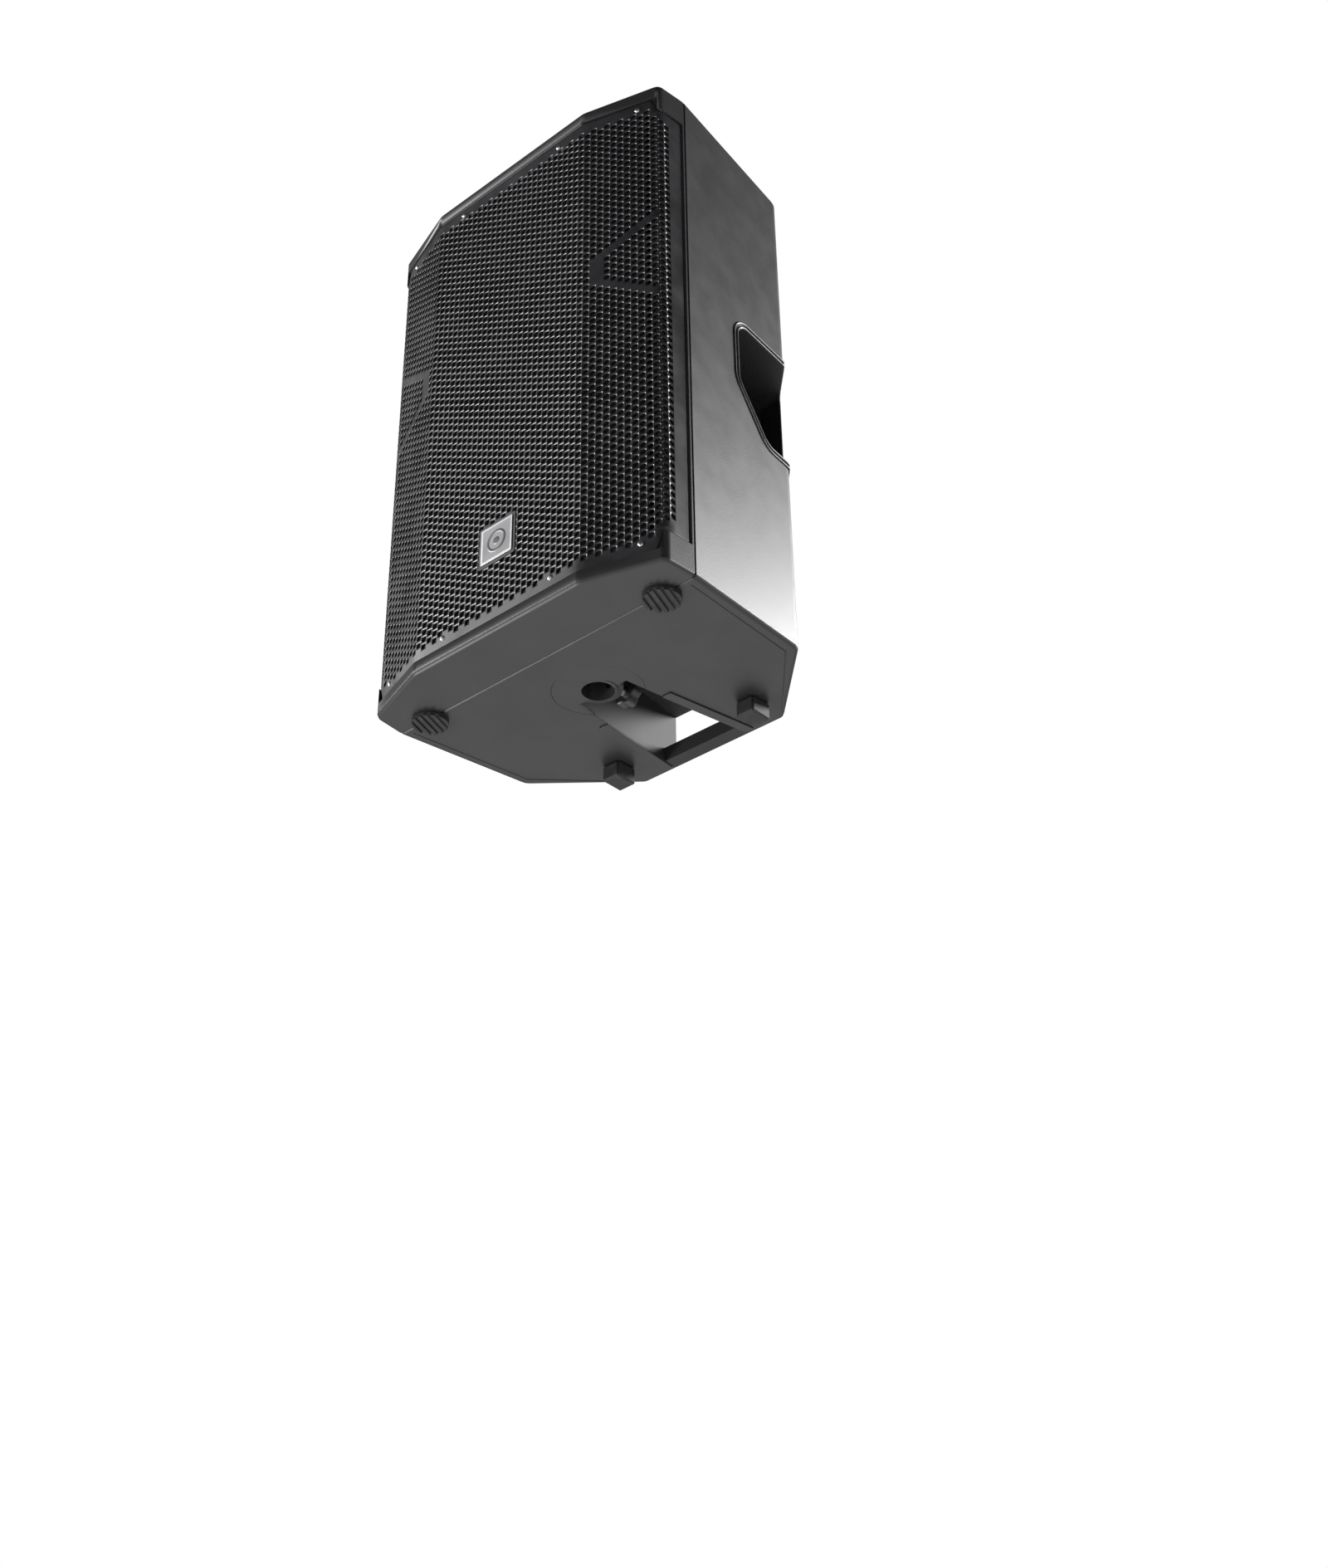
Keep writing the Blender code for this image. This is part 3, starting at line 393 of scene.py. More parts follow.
def inset(corners, distance):
    moved = []
    count = len(corners)
    for index, (a, b, radius) in enumerate(corners):
        here = Vector((a, b))
        back = (here - Vector(corners[index - 1][:2])).normalized()
        ahead = (Vector(corners[(index + 1) % count][:2]) - here).normalized()
        first, second = Vector((-back.y, back.x)), Vector((-ahead.y, ahead.x))
        spot = here + (first + second) * distance / (1 + first.dot(second))
        moved.append((spot.x, spot.y, max(radius - distance, 0.0) if radius else 0.0))
    return moved


def front_corners():
    x, y = FRONT_CORNER
    return [
        (HALF_WIDTH, 0.0, 0.0),
        (-HALF_WIDTH, 0.0, 0.0),
        (-x, -y, 10.0),
        (-FRONT_KINK, -FRONT_DEPTH, 25.0),
        (FRONT_KINK, -FRONT_DEPTH, 25.0),
        (x, -y, 10.0),
    ]


def side_face(y, distance):
    x, corner_y = FRONT_CORNER
    return x + (HALF_WIDTH - x) * (corner_y + y) / corner_y - distance


def side_line(y):
    """The rear shell's half width at y."""
    x, kink = SIDE_KINK
    if y <= kink:
        return HALF_WIDTH + (x - HALF_WIDTH) * y / kink
    return x + (REAR_HALF_WIDTH - x) * (y - kink) / (REAR_DEPTH - kink)


def floor_height(y):
    return FLOOR_RISE * max(y, 0.0)


def add_piece(name, bm, finish, body, replaced=(), smooth=40.0):
    """A mesh given in millimetres from the datum, as a piece that rides on a body."""
    for vert in bm.verts:
        vert.co = at(*vert.co)
    bmesh.ops.recalc_face_normals(bm, faces=bm.faces)
    mesh = bpy.data.meshes.new(name)
    bm.to_mesh(mesh)
    bm.free()
    return settle(bpy.data.objects.new(name, mesh), finish, body, replaced, smooth)


def settle(made, finish, body, replaced=(), smooth=40.0):
    bpy.context.scene.collection.objects.link(made)
    made.data.materials.clear()
    made.data.materials.append(FINISH[finish])
    if made.type == "MESH":
        made.data.shade_smooth()
        made.data.set_sharp_from_angle(angle=radians(smooth))
    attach(made, body)
    if replaced:
        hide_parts(*replaced)
    return made


def prism(points, low, high, axis="Z"):
    """An outline drawn out from low to high, along Y or Z."""
    bm = bmesh.new()
    places = [(a, low, b) if axis == "Y" else (a, b, low) for a, b in points]
    face = bm.faces.new([bm.verts.new(place) for place in places])
    grown = bmesh.ops.extrude_face_region(bm, geom=[face])["geom"]
    ends = [item for item in grown if isinstance(item, bmesh.types.BMVert)]
    step = Vector((0.0, axis == "Y", axis == "Z")) * (high - low)
    bmesh.ops.translate(bm, vec=step, verts=ends)
    bmesh.ops.recalc_face_normals(bm, faces=bm.faces)
    return bm


def block(low, high):
    bm = bmesh.new()
    low, high = Vector(low), Vector(high)
    place = Matrix.Translation((low + high) / 2) @ Matrix.Diagonal((*(high - low), 1.0))
    bmesh.ops.create_cube(bm, size=1.0, matrix=place)
    return bm


def join(parts):
    """Several solids as one, each freed."""
    whole = bmesh.new()
    for part in parts:
        mesh = bpy.data.meshes.new("joined")
        part.to_mesh(mesh)
        part.free()
        whole.from_mesh(mesh)
        bpy.data.meshes.remove(mesh)
    return whole


def turned(profile, centre, steps=32, facing="REAR"):
    """A turned solid; profile is (radius, distance outwards), from axis to axis or closed."""
    ring = profile[0][0] > 0
    bm = bmesh.new()
    rows = []
    for radius, out in profile:
        count = steps if radius > 0 else 1
        row = []
        for step in range(count):
            angle = 2 * pi * step / steps
            a, b = radius * cos(angle), radius * sin(angle)
            spot = {"REAR": (a, out, b), "FRONT": (-a, -out, b), "UP": (a, b, out)}[facing]
            row.append(bm.verts.new(Vector(centre) + Vector(spot)))
        rows.append(row)
    pairs = list(zip(rows, rows[1:])) + ([(rows[-1], rows[0])] if ring else [])
    for first, second in pairs:
        for step in range(steps):
            after = (step + 1) % steps
            if len(first) == 1:
                bm.faces.new((first[0], second[step], second[after]))
            elif len(second) == 1:
                bm.faces.new((first[step], first[after], second[0]))
            else:
                bm.faces.new((first[step], first[after], second[after], second[step]))
    bmesh.ops.recalc_face_normals(bm, faces=bm.faces)
    return bm


def soften(made, width, segments=2, angle=35.0):
    modifier = made.modifiers.new("rounding", "BEVEL")
    modifier.width = width * MM
    modifier.segments = segments
    modifier.limit_method = "ANGLE"
    modifier.angle_limit = radians(angle)
    modifier.harden_normals = False


BODY_OF = {
    node: body
    for body, members in frame["record"]["behaviour"]["bodies"].items()
    for node in members
}


def open_joint(bm):
    """Cuts back a shell's outer edge at the joint, so that the two shells meet in a groove."""
    middle = Vector((0.0, DATUM.y, DATUM.z + 340.0 * MM))
    outer = []
    for edge in bm.edges:
        off_joint = any(abs(vert.co.y - DATUM.y) > 0.6 * MM for vert in edge.verts)
        if off_joint or len(edge.link_faces) != 2:
            continue
        away = (edge.verts[0].co + edge.verts[1].co) / 2 - middle
        ends = [face for face in edge.link_faces if abs(face.normal.y) > 0.9]
        skins = [face for face in edge.link_faces if abs(face.normal.y) < 0.7]
        if ends and any(face.normal.dot(away) > 0.0 for face in skins):
            outer.append(edge)
    offset = JOINT_GROOVE * MM
    bmesh.ops.bevel(bm, geom=outer, offset=offset, segments=1, affect="EDGES", clamp_overlap=True)


def carry(node, finish):
    """A CAD node shown with welded vertices, smooth curves and a better material."""
    bm = bmesh.new()
    bm.from_mesh(frame["nodes"][node].data)
    bmesh.ops.remove_doubles(bm, verts=bm.verts, dist=0.00001)
    bmesh.ops.dissolve_limit(bm, angle_limit=radians(0.2), verts=bm.verts, edges=bm.edges)
    bmesh.ops.recalc_face_normals(bm, faces=bm.faces)
    if node in ("front_shell", "rear_shell"):
        open_joint(bm)
    mesh = bpy.data.meshes.new(node + "_skin")
    bm.to_mesh(mesh)
    bm.free()
    made = bpy.data.objects.new(node + "_skin", mesh)
    settle(made, finish, BODY_OF[node], (node,), 35.0)
    weighted = made.modifiers.new("normals", "WEIGHTED_NORMAL")
    weighted.keep_sharp = True
    weighted.weight = 50
    return made


# ---------------------------------------------------------------- grille


def walk(points):
    """(a call that gives the place at a signed length from a line's middle, half the line's length)."""
    lengths = [0.0]
    for first, second in zip(points, points[1:]):
        lengths.append(lengths[-1] + hypot(second[0] - first[0], second[1] - first[1]))
    half = lengths[-1] / 2

    def place(along):
        target = min(max(along + half, 0.0), lengths[-1])
        index = next(i for i in range(1, len(lengths)) if lengths[i] >= target - 1e-9)
        share = (target - lengths[index - 1]) / (lengths[index] - lengths[index - 1])
        first, second = points[index - 1], points[index]
        return (
            first[0] + (second[0] - first[0]) * share,
            first[1] + (second[1] - first[1]) * share,
        )

    return place, half


def grille_line():
    corners = inset(front_corners(), GRILLE_INSET)[2:]
    flank = side_face(-FLANGE_END, GRILLE_INSET)
    ends = [(-flank, -FLANGE_END, 0.0)] + corners + [(flank, -FLANGE_END, 0.0)]
    return rounded(ends, 10)


def band_distance(x, z):
    """How far a place on a facet is from the middle of its unperforated chevron."""
    chevron = [
        (218.0, 486.0), (160.0, 453.0), (134.5, 435.0),
        (134.5, 405.0), (140.0, 399.0), (204.0, 363.0), (218.0, 343.0),
    ]
    here = Vector((abs(x), z))
    nearest = 1000.0
    for first, second in zip(chevron, chevron[1:]):
        a, b = Vector(first), Vector(second)
        share = min(max((here - a).dot(b - a) / (b - a).length_squared, 0.0), 1.0)
        nearest = min(nearest, (here - a - (b - a) * share).length)
    return nearest


def make_grille():
    """The folded sheet with its staggered round holes, as real openings."""
    place, half = walk(grille_line())
    sheet_low = (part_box("grille")[0].z - DATUM.z) / MM + 0.4
    sheet_high = (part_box("grille")[1].z - DATUM.z) / MM - 0.4
    flange_low, flange_high = 39.2, 636.8
    shoulder_low = 200.0
    unit = HOLE_UP / 2
    rows = int((HOLE_HIGH - HOLE_LOW) / unit)
    columns = int((half - 1.0) / HOLE_ACROSS - 0.5)
    screws = [(x, z) for z in (GRILLE_SCREWS_LOW, GRILLE_SCREWS_HIGH) for x in GRILLE_SCREWS_ACROSS]

    lines = [(k - 0.5) * HOLE_ACROSS for k in range(-columns, columns + 2)]
    lines = [-half] + lines + [half]

    def limits(along):
        x = abs(place(along)[0])
        on_flange = min(max((x - shoulder_low) / 4.0, 0.0), 1.0)
        low = sheet_low + (flange_low - sheet_low) * on_flange
        high = sheet_high + (flange_high - sheet_high) * on_flange
        return low, high

    bm = bmesh.new()
    known = {}

    def vert(along, z):
        key = (round(along, 3), round(z, 3))
        if key not in known:
            x, y = place(along)
            known[key] = bm.verts.new((x, y, z))
        return known[key]

    def open_at(column, middle):
        """Whether a hole goes here."""
        if (middle + column) % 2:
            return False
        along, z = column * HOLE_ACROSS, HOLE_LOW + (middle - 1) * unit
        x, y = place(along)
        on_flange = abs(x) > FRONT_CORNER[0] - 6 and y > -FRONT_CORNER[1] - 4
        if on_flange:
            if not FLANGE_HOLE_LOW < z < FLANGE_HOLE_HIGH or y > -25.0:
                return False
            return True
        if band_distance(x, z) < 5.6:
            return False
        if abs(x) < 24.0 and 92.0 < z < 142.0:
            return False
        if any(hypot(x - a, z - b) < 6.6 for a, b in screws):
            return False
        return HOLE_LOW - 1 < z < HOLE_HIGH

    def level(index):
        return HOLE_LOW + (index - 1) * unit

    # level 0 is half a hole's pitch below the lowest hole's centre
    for index, (left, right) in enumerate(zip(lines, lines[1:])):
        column = index - columns - 1
        perforated = 0 < index < len(lines) - 2
        low = [limits(left)[0], limits(right)[0]]
        high = [limits(left)[1], limits(right)[1]]
        start = next(m for m in range(-8, rows) if level(m) > max(low) + 0.3)
        stop = next(m for m in range(rows + 12, 0, -1) if level(m) < min(high) - 0.3)
        bottom = [vert(left, low[0]), vert(right, low[1])]
        top = [vert(right, high[1]), vert(left, high[0])]
        inner_low_left = [
            vert(left, level(m)) for m in range(start, -9, -1) if level(m) > low[0] + 0.3
        ]
        inner_low_right = [
            vert(right, level(m)) for m in range(-8, start + 1) if level(m) > low[1] + 0.3
        ]
        bm.faces.new([*bottom, *inner_low_right, *inner_low_left])
        inner_high_right = [
            vert(right, level(m)) for m in range(stop, rows + 13) if level(m) < high[1] - 0.3
        ]
        inner_high_left = [
            vert(left, level(m)) for m in range(rows + 12, stop - 1, -1) if level(m) < high[0] - 0.3
        ]
        bm.faces.new([*inner_high_right, *top, *inner_high_left])
        m = start
        while m < stop:
            if perforated and m + 2 <= stop and open_at(column, m + 1):
                around = []
                for step in range(12):
                    angle = 2 * pi * step / 12
                    along = column * HOLE_ACROSS + HOLE_RADIUS * cos(angle)
                    around.append(vert(along, level(m + 1) + HOLE_RADIUS * sin(angle)))
                edge = [
                    vert(right, level(m + 1)),
                    vert(right, level(m + 2)),
                    vert(left, level(m + 2)),
                    vert(left, level(m + 1)),
                    vert(left, level(m)),
                    vert(right, level(m)),
                ]
                for part in range(6):
                    a, b = 2 * part, (2 * part + 2) % 12
                    outer = edge[part], edge[(part + 1) % 6]
                    bm.faces.new([*outer, around[b], around[a + 1], around[a]])
                m += 2
                continue
            bm.faces.new(
                [
                    vert(left, level(m)),
                    vert(right, level(m)),
                    vert(right, level(m + 1)),
                    vert(left, level(m + 1)),
                ]
            )
            m += 1
    for v in bm.verts:
        v.co = at(*v.co)
    mesh = bpy.data.meshes.new("perforated_grille")
    bm.to_mesh(mesh)
    bm.free()
    grille = bpy.data.objects.new("perforated_grille", mesh)
    settle(grille, "coat", "cabinet", ("grille",))
    solid = grille.modifiers.new("thickness", "SOLIDIFY")
    solid.thickness = GRILLE_THICKNESS * MM
    solid.offset = -1.0


def make_badge():
    """A square plate in a dark surround, with a plain ring and dot in relief."""
    face = -FRONT_DEPTH + GRILLE_INSET
    middle = 117.0

    def plaque(half_width, half_height, corner, front, back):
        low, high = middle - half_height, middle + half_height
        outline = [
            (-half_width, low), (half_width, low), (half_width, high), (-half_width, high),
        ]
        return prism(rounded([(*spot, corner) for spot in outline]), face + front, face + back, "Y")

    surround = plaque(26.6, 26.8, 2.5, -0.7, 0.6)
    frame_node, plate_node = ("badge_frame",), ("badge_plate",)
    made = add_piece("badge_surround", surround, "black", "cabinet", frame_node)
    soften(made, 0.3)
    plate = plaque(23.0, 23.0, 1.5, -1.75, -0.7)
    made = add_piece("badge_square", plate, "silver", "cabinet", plate_node)
    soften(made, 0.35)
    field = plaque(20.0, 20.0, 1.0, -1.83, -1.7)
    add_piece("badge_field", field, "field", "cabinet")
    ring = [(10.2, 0.0), (14.2, 0.0), (13.9, 0.16), (12.2, 0.22), (10.5, 0.16)]
    centre = (0.0, face - 1.75, middle)
    dot = [(0.0, 0.22), (3.0, 0.21), (4.6, 0.14), (5.0, 0.0), (0.0, 0.0)]
    relief = join([turned(ring, centre, 48, "FRONT"), turned(dot, centre, 32, "FRONT")])
    add_piece("badge_relief", relief, "relief", "cabinet")


# ---------------------------------------------------------------- rims, lips and small trim


def bead(name, points, radius, finish, closed=False):
    """A thin round moulding along places in millimetres."""
    curve = bpy.data.curves.new(name, "CURVE")
    curve.dimensions = "3D"
    spline = curve.splines.new("POLY")
    spline.points.add(len(points) - 1)
    for spot, place in zip(spline.points, points):
        spot.co = (*at(*place), 1.0)
    spline.use_cyclic_u = closed
    curve.bevel_depth = radius * MM
    curve.bevel_resolution = 2
    curve.use_fill_caps = not closed
    return settle(bpy.data.objects.new(name, curve), finish, "cabinet")


def make_pocket_rims():
    corners = [
        (90.0, 404.0, 18.0), (90.0, 322.0, 20.0), (140.0, 262.0, 24.0),
        (214.0, 262.0, 10.0), (214.0, 404.0, 10.0),
    ]
    for side, name in ((-1, "left"), (1, "right")):
        for label, grow, proud in (("outer", -7.0, 0.3), ("inner", -1.4, 0.2)):
            outline = rounded(inset(corners, grow), 8)
            dense = []
            for first, second in zip(outline, outline[1:] + outline[:1]):
                count = max(int(hypot(second[0] - first[0], second[1] - first[1]) / 4), 1)
                for step in range(count):
                    share = step / count
                    dense.append(
                        (
                            first[0] + (second[0] - first[0]) * share,
                            first[1] + (second[1] - first[1]) * share,
                        )
                    )
            line = [(side * (side_line(y) + proud), y, z) for y, z in dense]
            bead(f"pocket_rim_{label}_{name}", line, 1.5, "shell", True)


def make_floor_lines():
    for side, name in ((-1, "left"), (1, "right")):
        spots = []
        for y in (8.0, 60.0, 120.0, 172.0):
            spots.append((side * (side_line(y) - 12.0), y, floor_height(y) - 0.1))
        spots.append((side * 112.0, 262.0, floor_height(262.0) - 0.1))
        bead(f"underside_line_{name}", spots, 0.6, "shell")
    # the lips follow the sides of the cable bay's opening
    start, end, width = 146.0, 270.0, 12.0
    slope = 20.4 / 183.4
    near, far = 34.2 + slope * (start - 95.0), 34.2 + slope * (end - 95.0)
    for side, name in ((-1, "left"), (1, "right")):
        outline = [
            (side * near, start), (side * far, end),
            (side * (far + width), end), (side * (near + width), start),
        ]
        lip = prism(outline if side > 0 else outline[::-1], -1.8, 0.2)
        for vert in lip.verts:
            vert.co.z += floor_height(vert.co.y)
        soften(add_piece(f"bay_lip_{name}", lip, "shell", "cabinet"), 0.5)


def cross_recess(radius, depth):
    arm = radius * 0.52
    width = radius * 0.16
    return join(
        [
            block((-arm, -width, -depth), (arm, width, 0.02)),
            block((-width, -arm, -depth), (width, arm, 0.02)),
        ]
    )


def make_screw(name, node, head, rise, place, outwards):
    """A domed screw head with a dark cross, a block painted as the shade in its recess; outwards is the
    direction it faces.
    """
    profile = [(0.0, rise), (head * 0.45, rise * 0.94), (head * 0.8, rise * 0.68), (head, rise * 0.2)]
    profile += [(head, 0.0), (0.0, 0.0)]
    bm = turned(profile, (0, 0, 0), 24, "UP")
    turn = Vector(outwards).normalized().to_track_quat("Z", "Y").to_matrix().to_4x4()
    move = Matrix.Translation(place) @ turn
    bmesh.ops.transform(bm, matrix=move, verts=bm.verts)
    add_piece(name, bm, "zinc", "cabinet", (node,))
    # painted shade: the dark cross block stands for the shade in the screw's cross recess
    cross = cross_recess(head, 0.2)
    lift = Matrix.Translation(place) @ turn @ Matrix.Translation((0, 0, rise * 0.97))
    bmesh.ops.transform(cross, matrix=lift, verts=cross.verts)
    add_piece(name + "_cross", cross, "recess", "cabinet")


def front_face(x, distance):
    beyond = max(abs(x) - FRONT_KINK, 0.0)
    lean = FACET_TILT if beyond else 0.0
    return -FRONT_DEPTH + distance / cos(lean) + beyond * tan(FACET_TILT)


def make_screws():
    for row, z in (("top", GRILLE_SCREWS_HIGH), ("bottom", GRILLE_SCREWS_LOW)):
        for label, x in enumerate(GRILLE_SCREWS_ACROSS, 1):
            lean = 0.0 if abs(x) < FRONT_KINK else copysign(FACET_TILT, x)
            node = f"grille_screw_{row}_{label}"
            place = (x, front_face(x, GRILLE_INSET), z)
            make_screw(f"grille_bolt_{row}_{label}", node, 3.3, 1.8, place, (sin(lean), -cos(lean), 0))
    for index in range(4):
        node = f"amp_screw_{index + 1}"
        low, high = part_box(node)
        middle = ((low + high) / 2 - DATUM) / MM
        place = (middle.x, PANEL_FACE + 0.3, middle.z)
        make_screw(f"panel_bolt_{index + 1}", node, 3.8, 2.2, place, (0, 1, 0))


# ---------------------------------------------------------------- amplifier panel


def node_centre(node):
    low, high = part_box(node)
    middle = ((low + high) / 2 - DATUM) / MM
    return middle.x, middle.z


def make_knobs():
    """Ribbed knobs with a white pointer, each over a ring of ticks."""
    for node in ("input_1_knob", "input_2_knob", "master_knob"):
        x, z = node_centre(node)
        body = BODY_OF[node]
        ribs = 18
        outline = []
        for step in range(ribs * 4):
            angle = 2 * pi * step / (ribs * 4)
            radius = 8.35 + (0.4 if step % 4 in (0, 1) else -0.25)
            outline.append((x + radius * cos(angle), z + radius * sin(angle)))
        grip = prism(outline, PANEL_FACE + 2.2, PANEL_FACE + 11.6, "Y")
        centre = (x, PANEL_FACE, z)
        skirt = turned([(0, 0.6), (9.0, 0.6), (9.0, 1.6), (8.4, 2.4), (0, 2.4)], centre, 40)
        cap = turned([(0, 11.9), (6.9, 11.9), (7.5, 11.6), (7.5, 11.0), (0, 11.0)], centre, 40)
        shaft = turned([(0, 0.7), (3, 0.7), (3, -8), (0, -8)], centre, 24)
        knob = join([grip, skirt, cap, shaft])
        made = add_piece(node + "_ribbed", knob, "control", body, (node,))
        soften(made, 0.25, 2, 50)
        pointer = block((x - 0.55, PANEL_FACE + 11.8, z + 1.5), (x + 0.55, PANEL_FACE + 12.0, z + 7.0))
        add_piece(node + "_pointer", pointer, "print", body)


def make_print():
    """Ticks round the knobs, frames round the groups and plain marks by the sockets."""
    marks = []
    low, high = PANEL_FACE, PANEL_FACE + 0.12
    for node in ("input_1_knob", "input_2_knob", "master_knob"):
        x, z = node_centre(node)
        for tick in range(11):
            angle = radians(90 + 150 - 30 * tick)
            length = 3.2 if tick in (0, 5, 10) else 2.0
            bar = block((11.2, low, -0.3), (11.2 + length, high, 0.3))
            turn = Matrix.Translation((x, 0, z)) @ Matrix.Rotation(-angle, 4, "Y")
            bmesh.ops.transform(bar, matrix=turn, verts=bar.verts)
            marks.append(bar)

    def outline(left, bottom, right, top, width=0.5):
        for a, b in (
            ((left, bottom), (right, bottom + width)),
            ((left, top - width), (right, top)),
            ((left, bottom), (left + width, top)),
            ((right - width, bottom), (right, top)),
        ):
            marks.append(block((a[0], low, a[1]), (b[0], high, b[1])))

    outline(27.0, 208.0, 77.0, 322.0)
    outline(-25.0, 208.0, 25.0, 322.0)
    outline(-77.0, 208.0, -27.0, 322.0)
    outline(-77.0, 124.0, 77.0, 178.0)
    for node, dots in (("combo_input_1", 1), ("combo_input_2", 2), ("link_output", 3)):
        x, _ = node_centre(node)
        for dot in range(dots):
            spot = (x + (dot - (dots - 1) / 2) * 3.4, low, 213.0)
            marks.append(turned([(0, 0.12), (1.1, 0.12), (1.1, 0), (0, 0)], spot, 20))
    x, z = node_centre("status_led")
    marks.append(turned([(3.6, 0), (4.2, 0), (4.2, 0.12), (3.6, 0.12)], (x, low, z), 28))
    x, z = node_centre("mic_line_button")
    marks.append(turned([(5.6, 0), (6.2, 0), (6.2, 0.12), (5.6, 0.12)], (x, low, z), 28))
    add_piece("panel_marks", join(marks), "print", "cabinet")


def make_socket_fittings():
    """Contacts inside the sockets, and the inserts that hold them."""
    contacts, inserts = [], []
    floor = PANEL_FACE - 12.0
    angles = [radians(degrees) for degrees in (150, 30, 270)]
    for node in ("combo_input_1", "combo_input_2", "link_output"):
        x, z = node_centre(node)
        pins = [(x + 4.2 * cos(angle), z + 4.2 * sin(angle)) for angle in angles]
        if node == "link_output":
            for a, b in pins:
                profile = [(0, 9.0), (0.7, 8.8), (1.2, 8.0), (1.2, -0.2), (0, -0.2)]
                contacts.append(turned(profile, (a, floor, b), 16))
        else:
            profile = [(3.3, -0.2), (9.7, -0.2), (9.7, 3.0), (9.1, 3.6), (3.9, 3.6), (3.3, 3.0)]
            inserts.append(turned(profile, (x, floor, z), 40))
            for a, b in pins:
                spot = Vector((a - x, 0, b - z)).normalized() * 6.5
                profile = [(0.9, 3.5), (1.5, 3.5), (1.5, 3.9), (0.9, 3.9)]
                contacts.append(turned(profile, (x + spot.x, floor, z + spot.z), 16))
            contacts.append(turned([(3.3, 3.4), (3.9, 3.4), (3.9, 3.9), (3.3, 3.9)], (x, floor, z), 32))
    x, z = node_centre("mains_inlet")
    for dx, dz in ((0, 3.0), (-7.0, -2.0), (7.0, -2.0)):
        low = (x + dx - 1.0, PANEL_FACE - 15.1, z + dz - 2.2)
        high = (x + dx + 1.0, PANEL_FACE - 3.0, z + dz + 2.2)
        contacts.append(block(low, high))
    add_piece("socket_contacts", join(contacts), "nickel", "cabinet")
    add_piece("combo_inserts", join(inserts), "control", "cabinet")


def make_rocker_marks():
    """A dash and a ring on the rocker's two faces, which lean with it."""
    low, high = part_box("power_rocker")
    x = (low.x + high.x) / 2 / MM
    z = 150.0
    tilt = Matrix.Rotation(radians(-8.0), 4, "X")
    slant = atan2(1.8, 12.0)
    marks = []
    dash = block((-0.5, 0.0, -2.6), (0.5, 0.15, 2.6))
    ring = turned([(1.9, -0.5), (2.6, -0.5), (2.6, 0.15), (1.9, 0.15)], (0, 0, 0), 28)
    for mark, up, lean, lift in ((dash, 7.0, -slant, 0.0), (ring, -7.0, slant, 0.35)):
        out = 2.6 + 1.8 * abs(up) / 12.0 + lift
        move = Matrix.Translation((0, out, up)) @ Matrix.Rotation(-lean, 4, "X")
        whole = Matrix.Translation((x, PANEL_FACE - 2.0, z)) @ tilt @ move
        bmesh.ops.transform(mark, matrix=whole, verts=mark.verts)
        marks.append(mark)
    add_piece("rocker_marks", join(marks), "print", "power_switch")


# ---------------------------------------------------------------- the rest of the CAD nodes


def carry_all():
    finishes = {
        "shell": ["front_shell", "rear_shell", "pole_cup"],
        "cup": ["handle_cup_left", "handle_cup_right"],
        "rubber": ["front_foot_left", "front_foot_right", "rear_foot_left", "rear_foot_right"],
        "roll": ["woofer_surround"],
        "control": [
            "pole_lock_knob", "horn", "driver_cover", "port_tube_left", "port_tube_right",
            "combo_input_1", "combo_input_2", "link_output", "mic_line_button",
            "power_rocker", "mains_inlet",
        ],
        "panel": ["amp_panel"],
        "steel": ["woofer_basket", "driver_magnet"],
        "zinc": [
            "pole_lock_spindle", "combo_latch_1", "combo_latch_2", "rigging_insert_left",
            "rigging_insert_right", "woofer_top_plate", "woofer_back_plate",
        ],
        "ferrite": ["woofer_magnet_ring"],
        "copper": ["woofer_voice_coil"],
        "titanium": ["driver_diaphragm"],
        "fins": ["heat_sink"],
        "foam": ["grille_foam"],
        "paper": ["woofer_cone", "woofer_dust_cap"],
        "cloth": ["woofer_spider"],
        "board": ["amp_board"],
        "winding": ["mains_transformer"],
        "green": ["status_led"],
    }
    for finish, nodes in finishes.items():
        for node in nodes:
            made = carry(node, finish)


# ---------------------------------------------------------------- stage, lights and camera


def make_stage():
    bpy.ops.mesh.primitive_plane_add(size=60.0, location=(0.0, 0.0, -2.1))
    floor = bpy.context.object
    floor.name = "floor"
    n = Nodes("pale_floor")
    faint = n.noise(1.5, 3.0)
    floor.data.materials.append(
        n.set(
            Base_Color=n.mix(faint, (0.80, 0.80, 0.80), (0.84, 0.84, 0.84)),
            Roughness=0.9,
            Emission_Color=(1.0, 1.0, 1.0, 1.0),
            Emission_Strength=0.42,
        )
    )


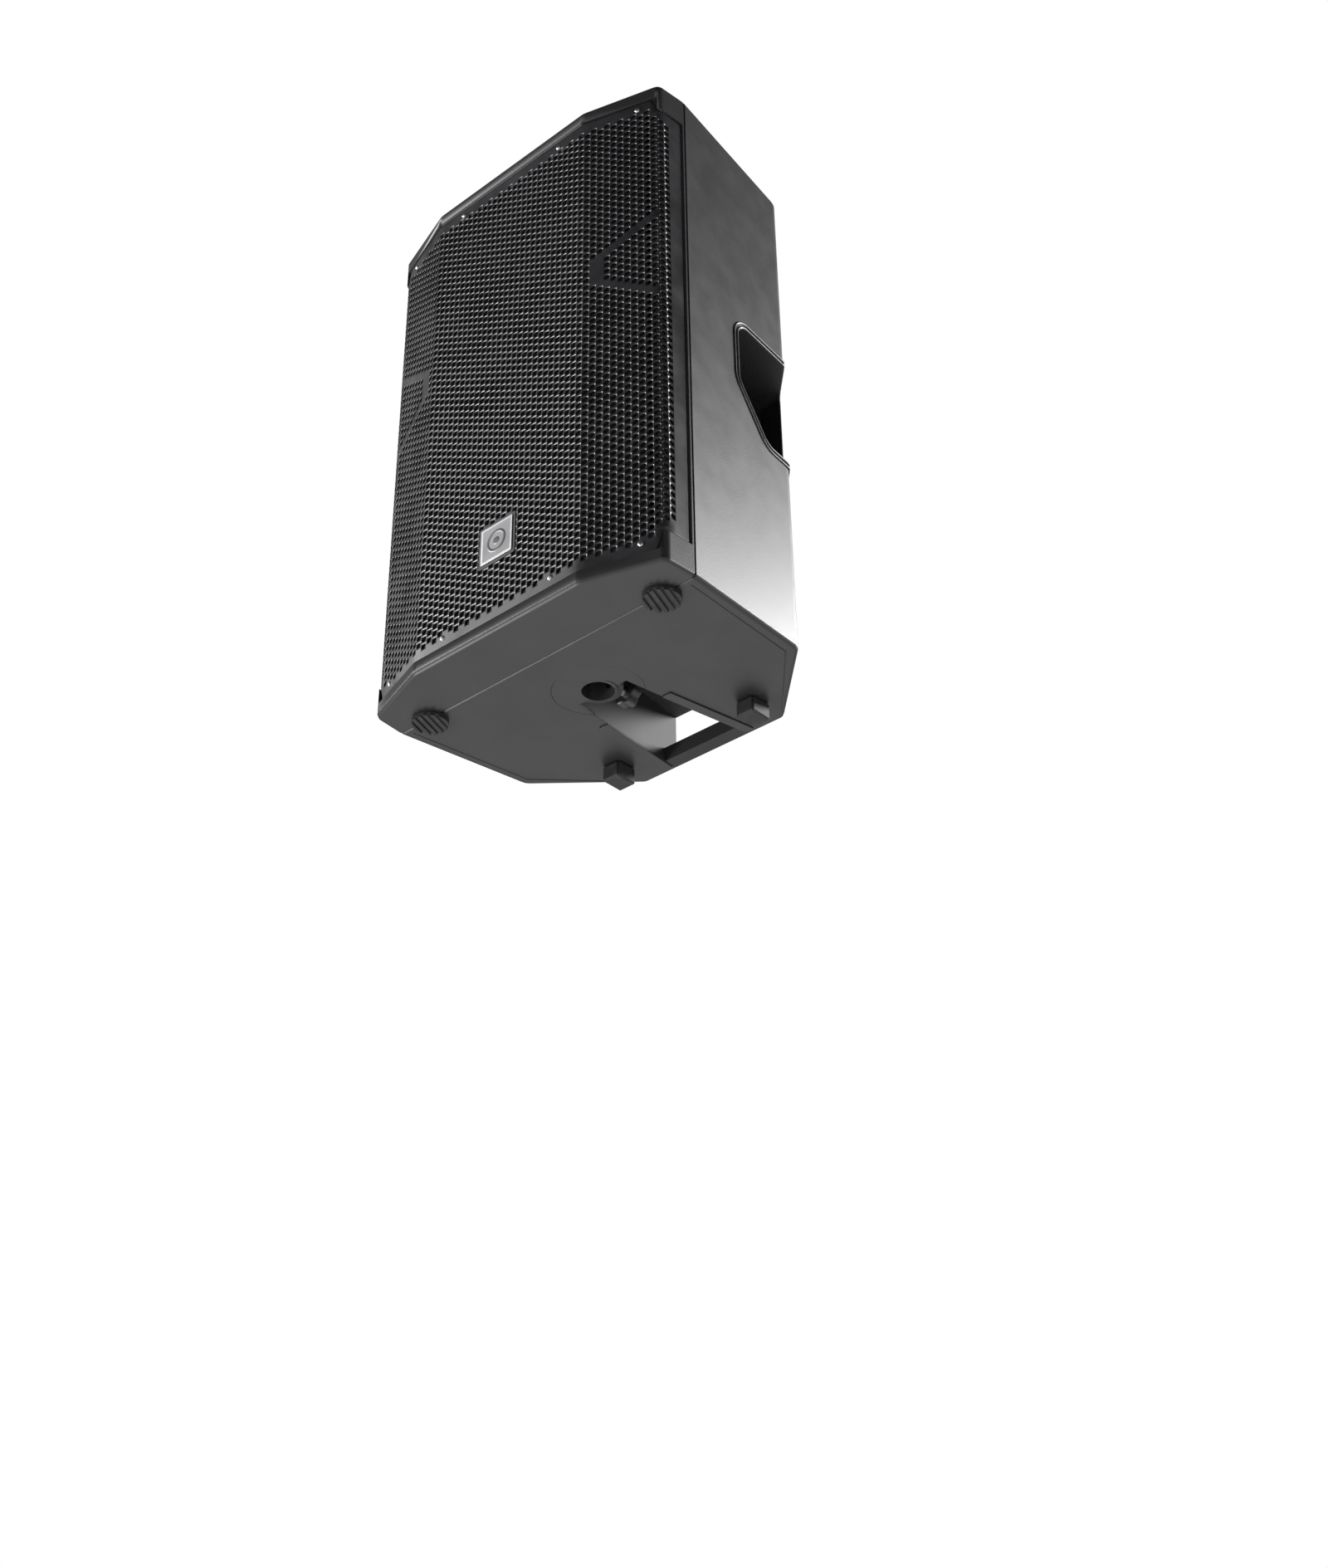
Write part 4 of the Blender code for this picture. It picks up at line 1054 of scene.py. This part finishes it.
def make_world():
    world = bpy.data.worlds.new("studio")
    bpy.context.scene.world = world
    bpy.context.scene.view_settings.view_transform = "Standard"
    world.use_nodes = True
    tree = world.node_tree
    tree.nodes.clear()
    out = tree.nodes.new("ShaderNodeOutputWorld")
    seen = tree.nodes.new("ShaderNodeBackground")
    seen.inputs["Color"].default_value = (1.0, 1.0, 1.0, 1.0)
    seen.inputs["Strength"].default_value = 1.0
    lit = tree.nodes.new("ShaderNodeBackground")
    lit.inputs["Color"].default_value = (0.96, 0.97, 1.0, 1.0)
    lit.inputs["Strength"].default_value = 0.08
    rays = tree.nodes.new("ShaderNodeLightPath")
    mix = tree.nodes.new("ShaderNodeMixShader")
    tree.links.new(rays.outputs["Is Camera Ray"], mix.inputs["Fac"])
    tree.links.new(lit.outputs[0], mix.inputs[1])
    tree.links.new(seen.outputs[0], mix.inputs[2])
    tree.links.new(mix.outputs[0], out.inputs["Surface"])


def make_light(name, place, target, size, power):
    data = bpy.data.lights.new(name, "AREA")
    data.shape = "RECTANGLE"
    data.size, data.size_y = size
    data.energy = power
    light = bpy.data.objects.new(name, data)
    bpy.context.scene.collection.objects.link(light)
    light.location = place
    aim = Vector(target) - Vector(place)
    light.rotation_euler = aim.to_track_quat("-Z", "Y").to_euler()
    light.visible_camera = False


def make_lights():
    middle = (0.0, 0.0, 0.3)
    make_light("side_soft", (1.35, 2.30, 1.22), middle, (2.4, 0.75), 215.0)
    make_light("front_left", (-2.2, -1.95, 1.10), middle, (1.6, 0.7), 125.0)
    make_light("low_front", (-1.4, -1.4, -1.1), middle, (0.9, 0.6), 26.0)


def make_camera():
    """The camera that was fitted to the photograph's straight edges."""
    place = Vector((1.28030, -1.38626, -1.24811))
    yaw, pitch, roll = 0.715077853, 0.547601935, -0.0141253268
    sensor_height, focal_pixels, frame_pixels = 36.0, 2554.41, 1889.0
    ahead = Vector((-sin(yaw) * cos(pitch), cos(yaw) * cos(pitch), sin(pitch)))
    right = Vector((cos(yaw), sin(yaw), 0.0))
    up = right.cross(ahead)
    across = cos(roll) * right + sin(roll) * up
    upwards = -sin(roll) * right + cos(roll) * up
    data = bpy.data.cameras.new("camera")
    data.sensor_fit = "VERTICAL"
    data.sensor_height = sensor_height
    data.lens = sensor_height * focal_pixels / frame_pixels
    camera = bpy.data.objects.new("camera", data)
    turn = Matrix((across, upwards, -ahead)).transposed().to_4x4()
    camera.matrix_world = Matrix.Translation(place) @ turn
    bpy.context.scene.collection.objects.link(camera)
    bpy.context.scene.camera = camera


make_camera()
make_world()
make_lights()
make_stage()
carry_all()
make_grille()
make_badge()
make_screws()
make_pocket_rims()
make_floor_lines()
make_knobs()
make_print()
make_socket_fittings()
make_rocker_marks()
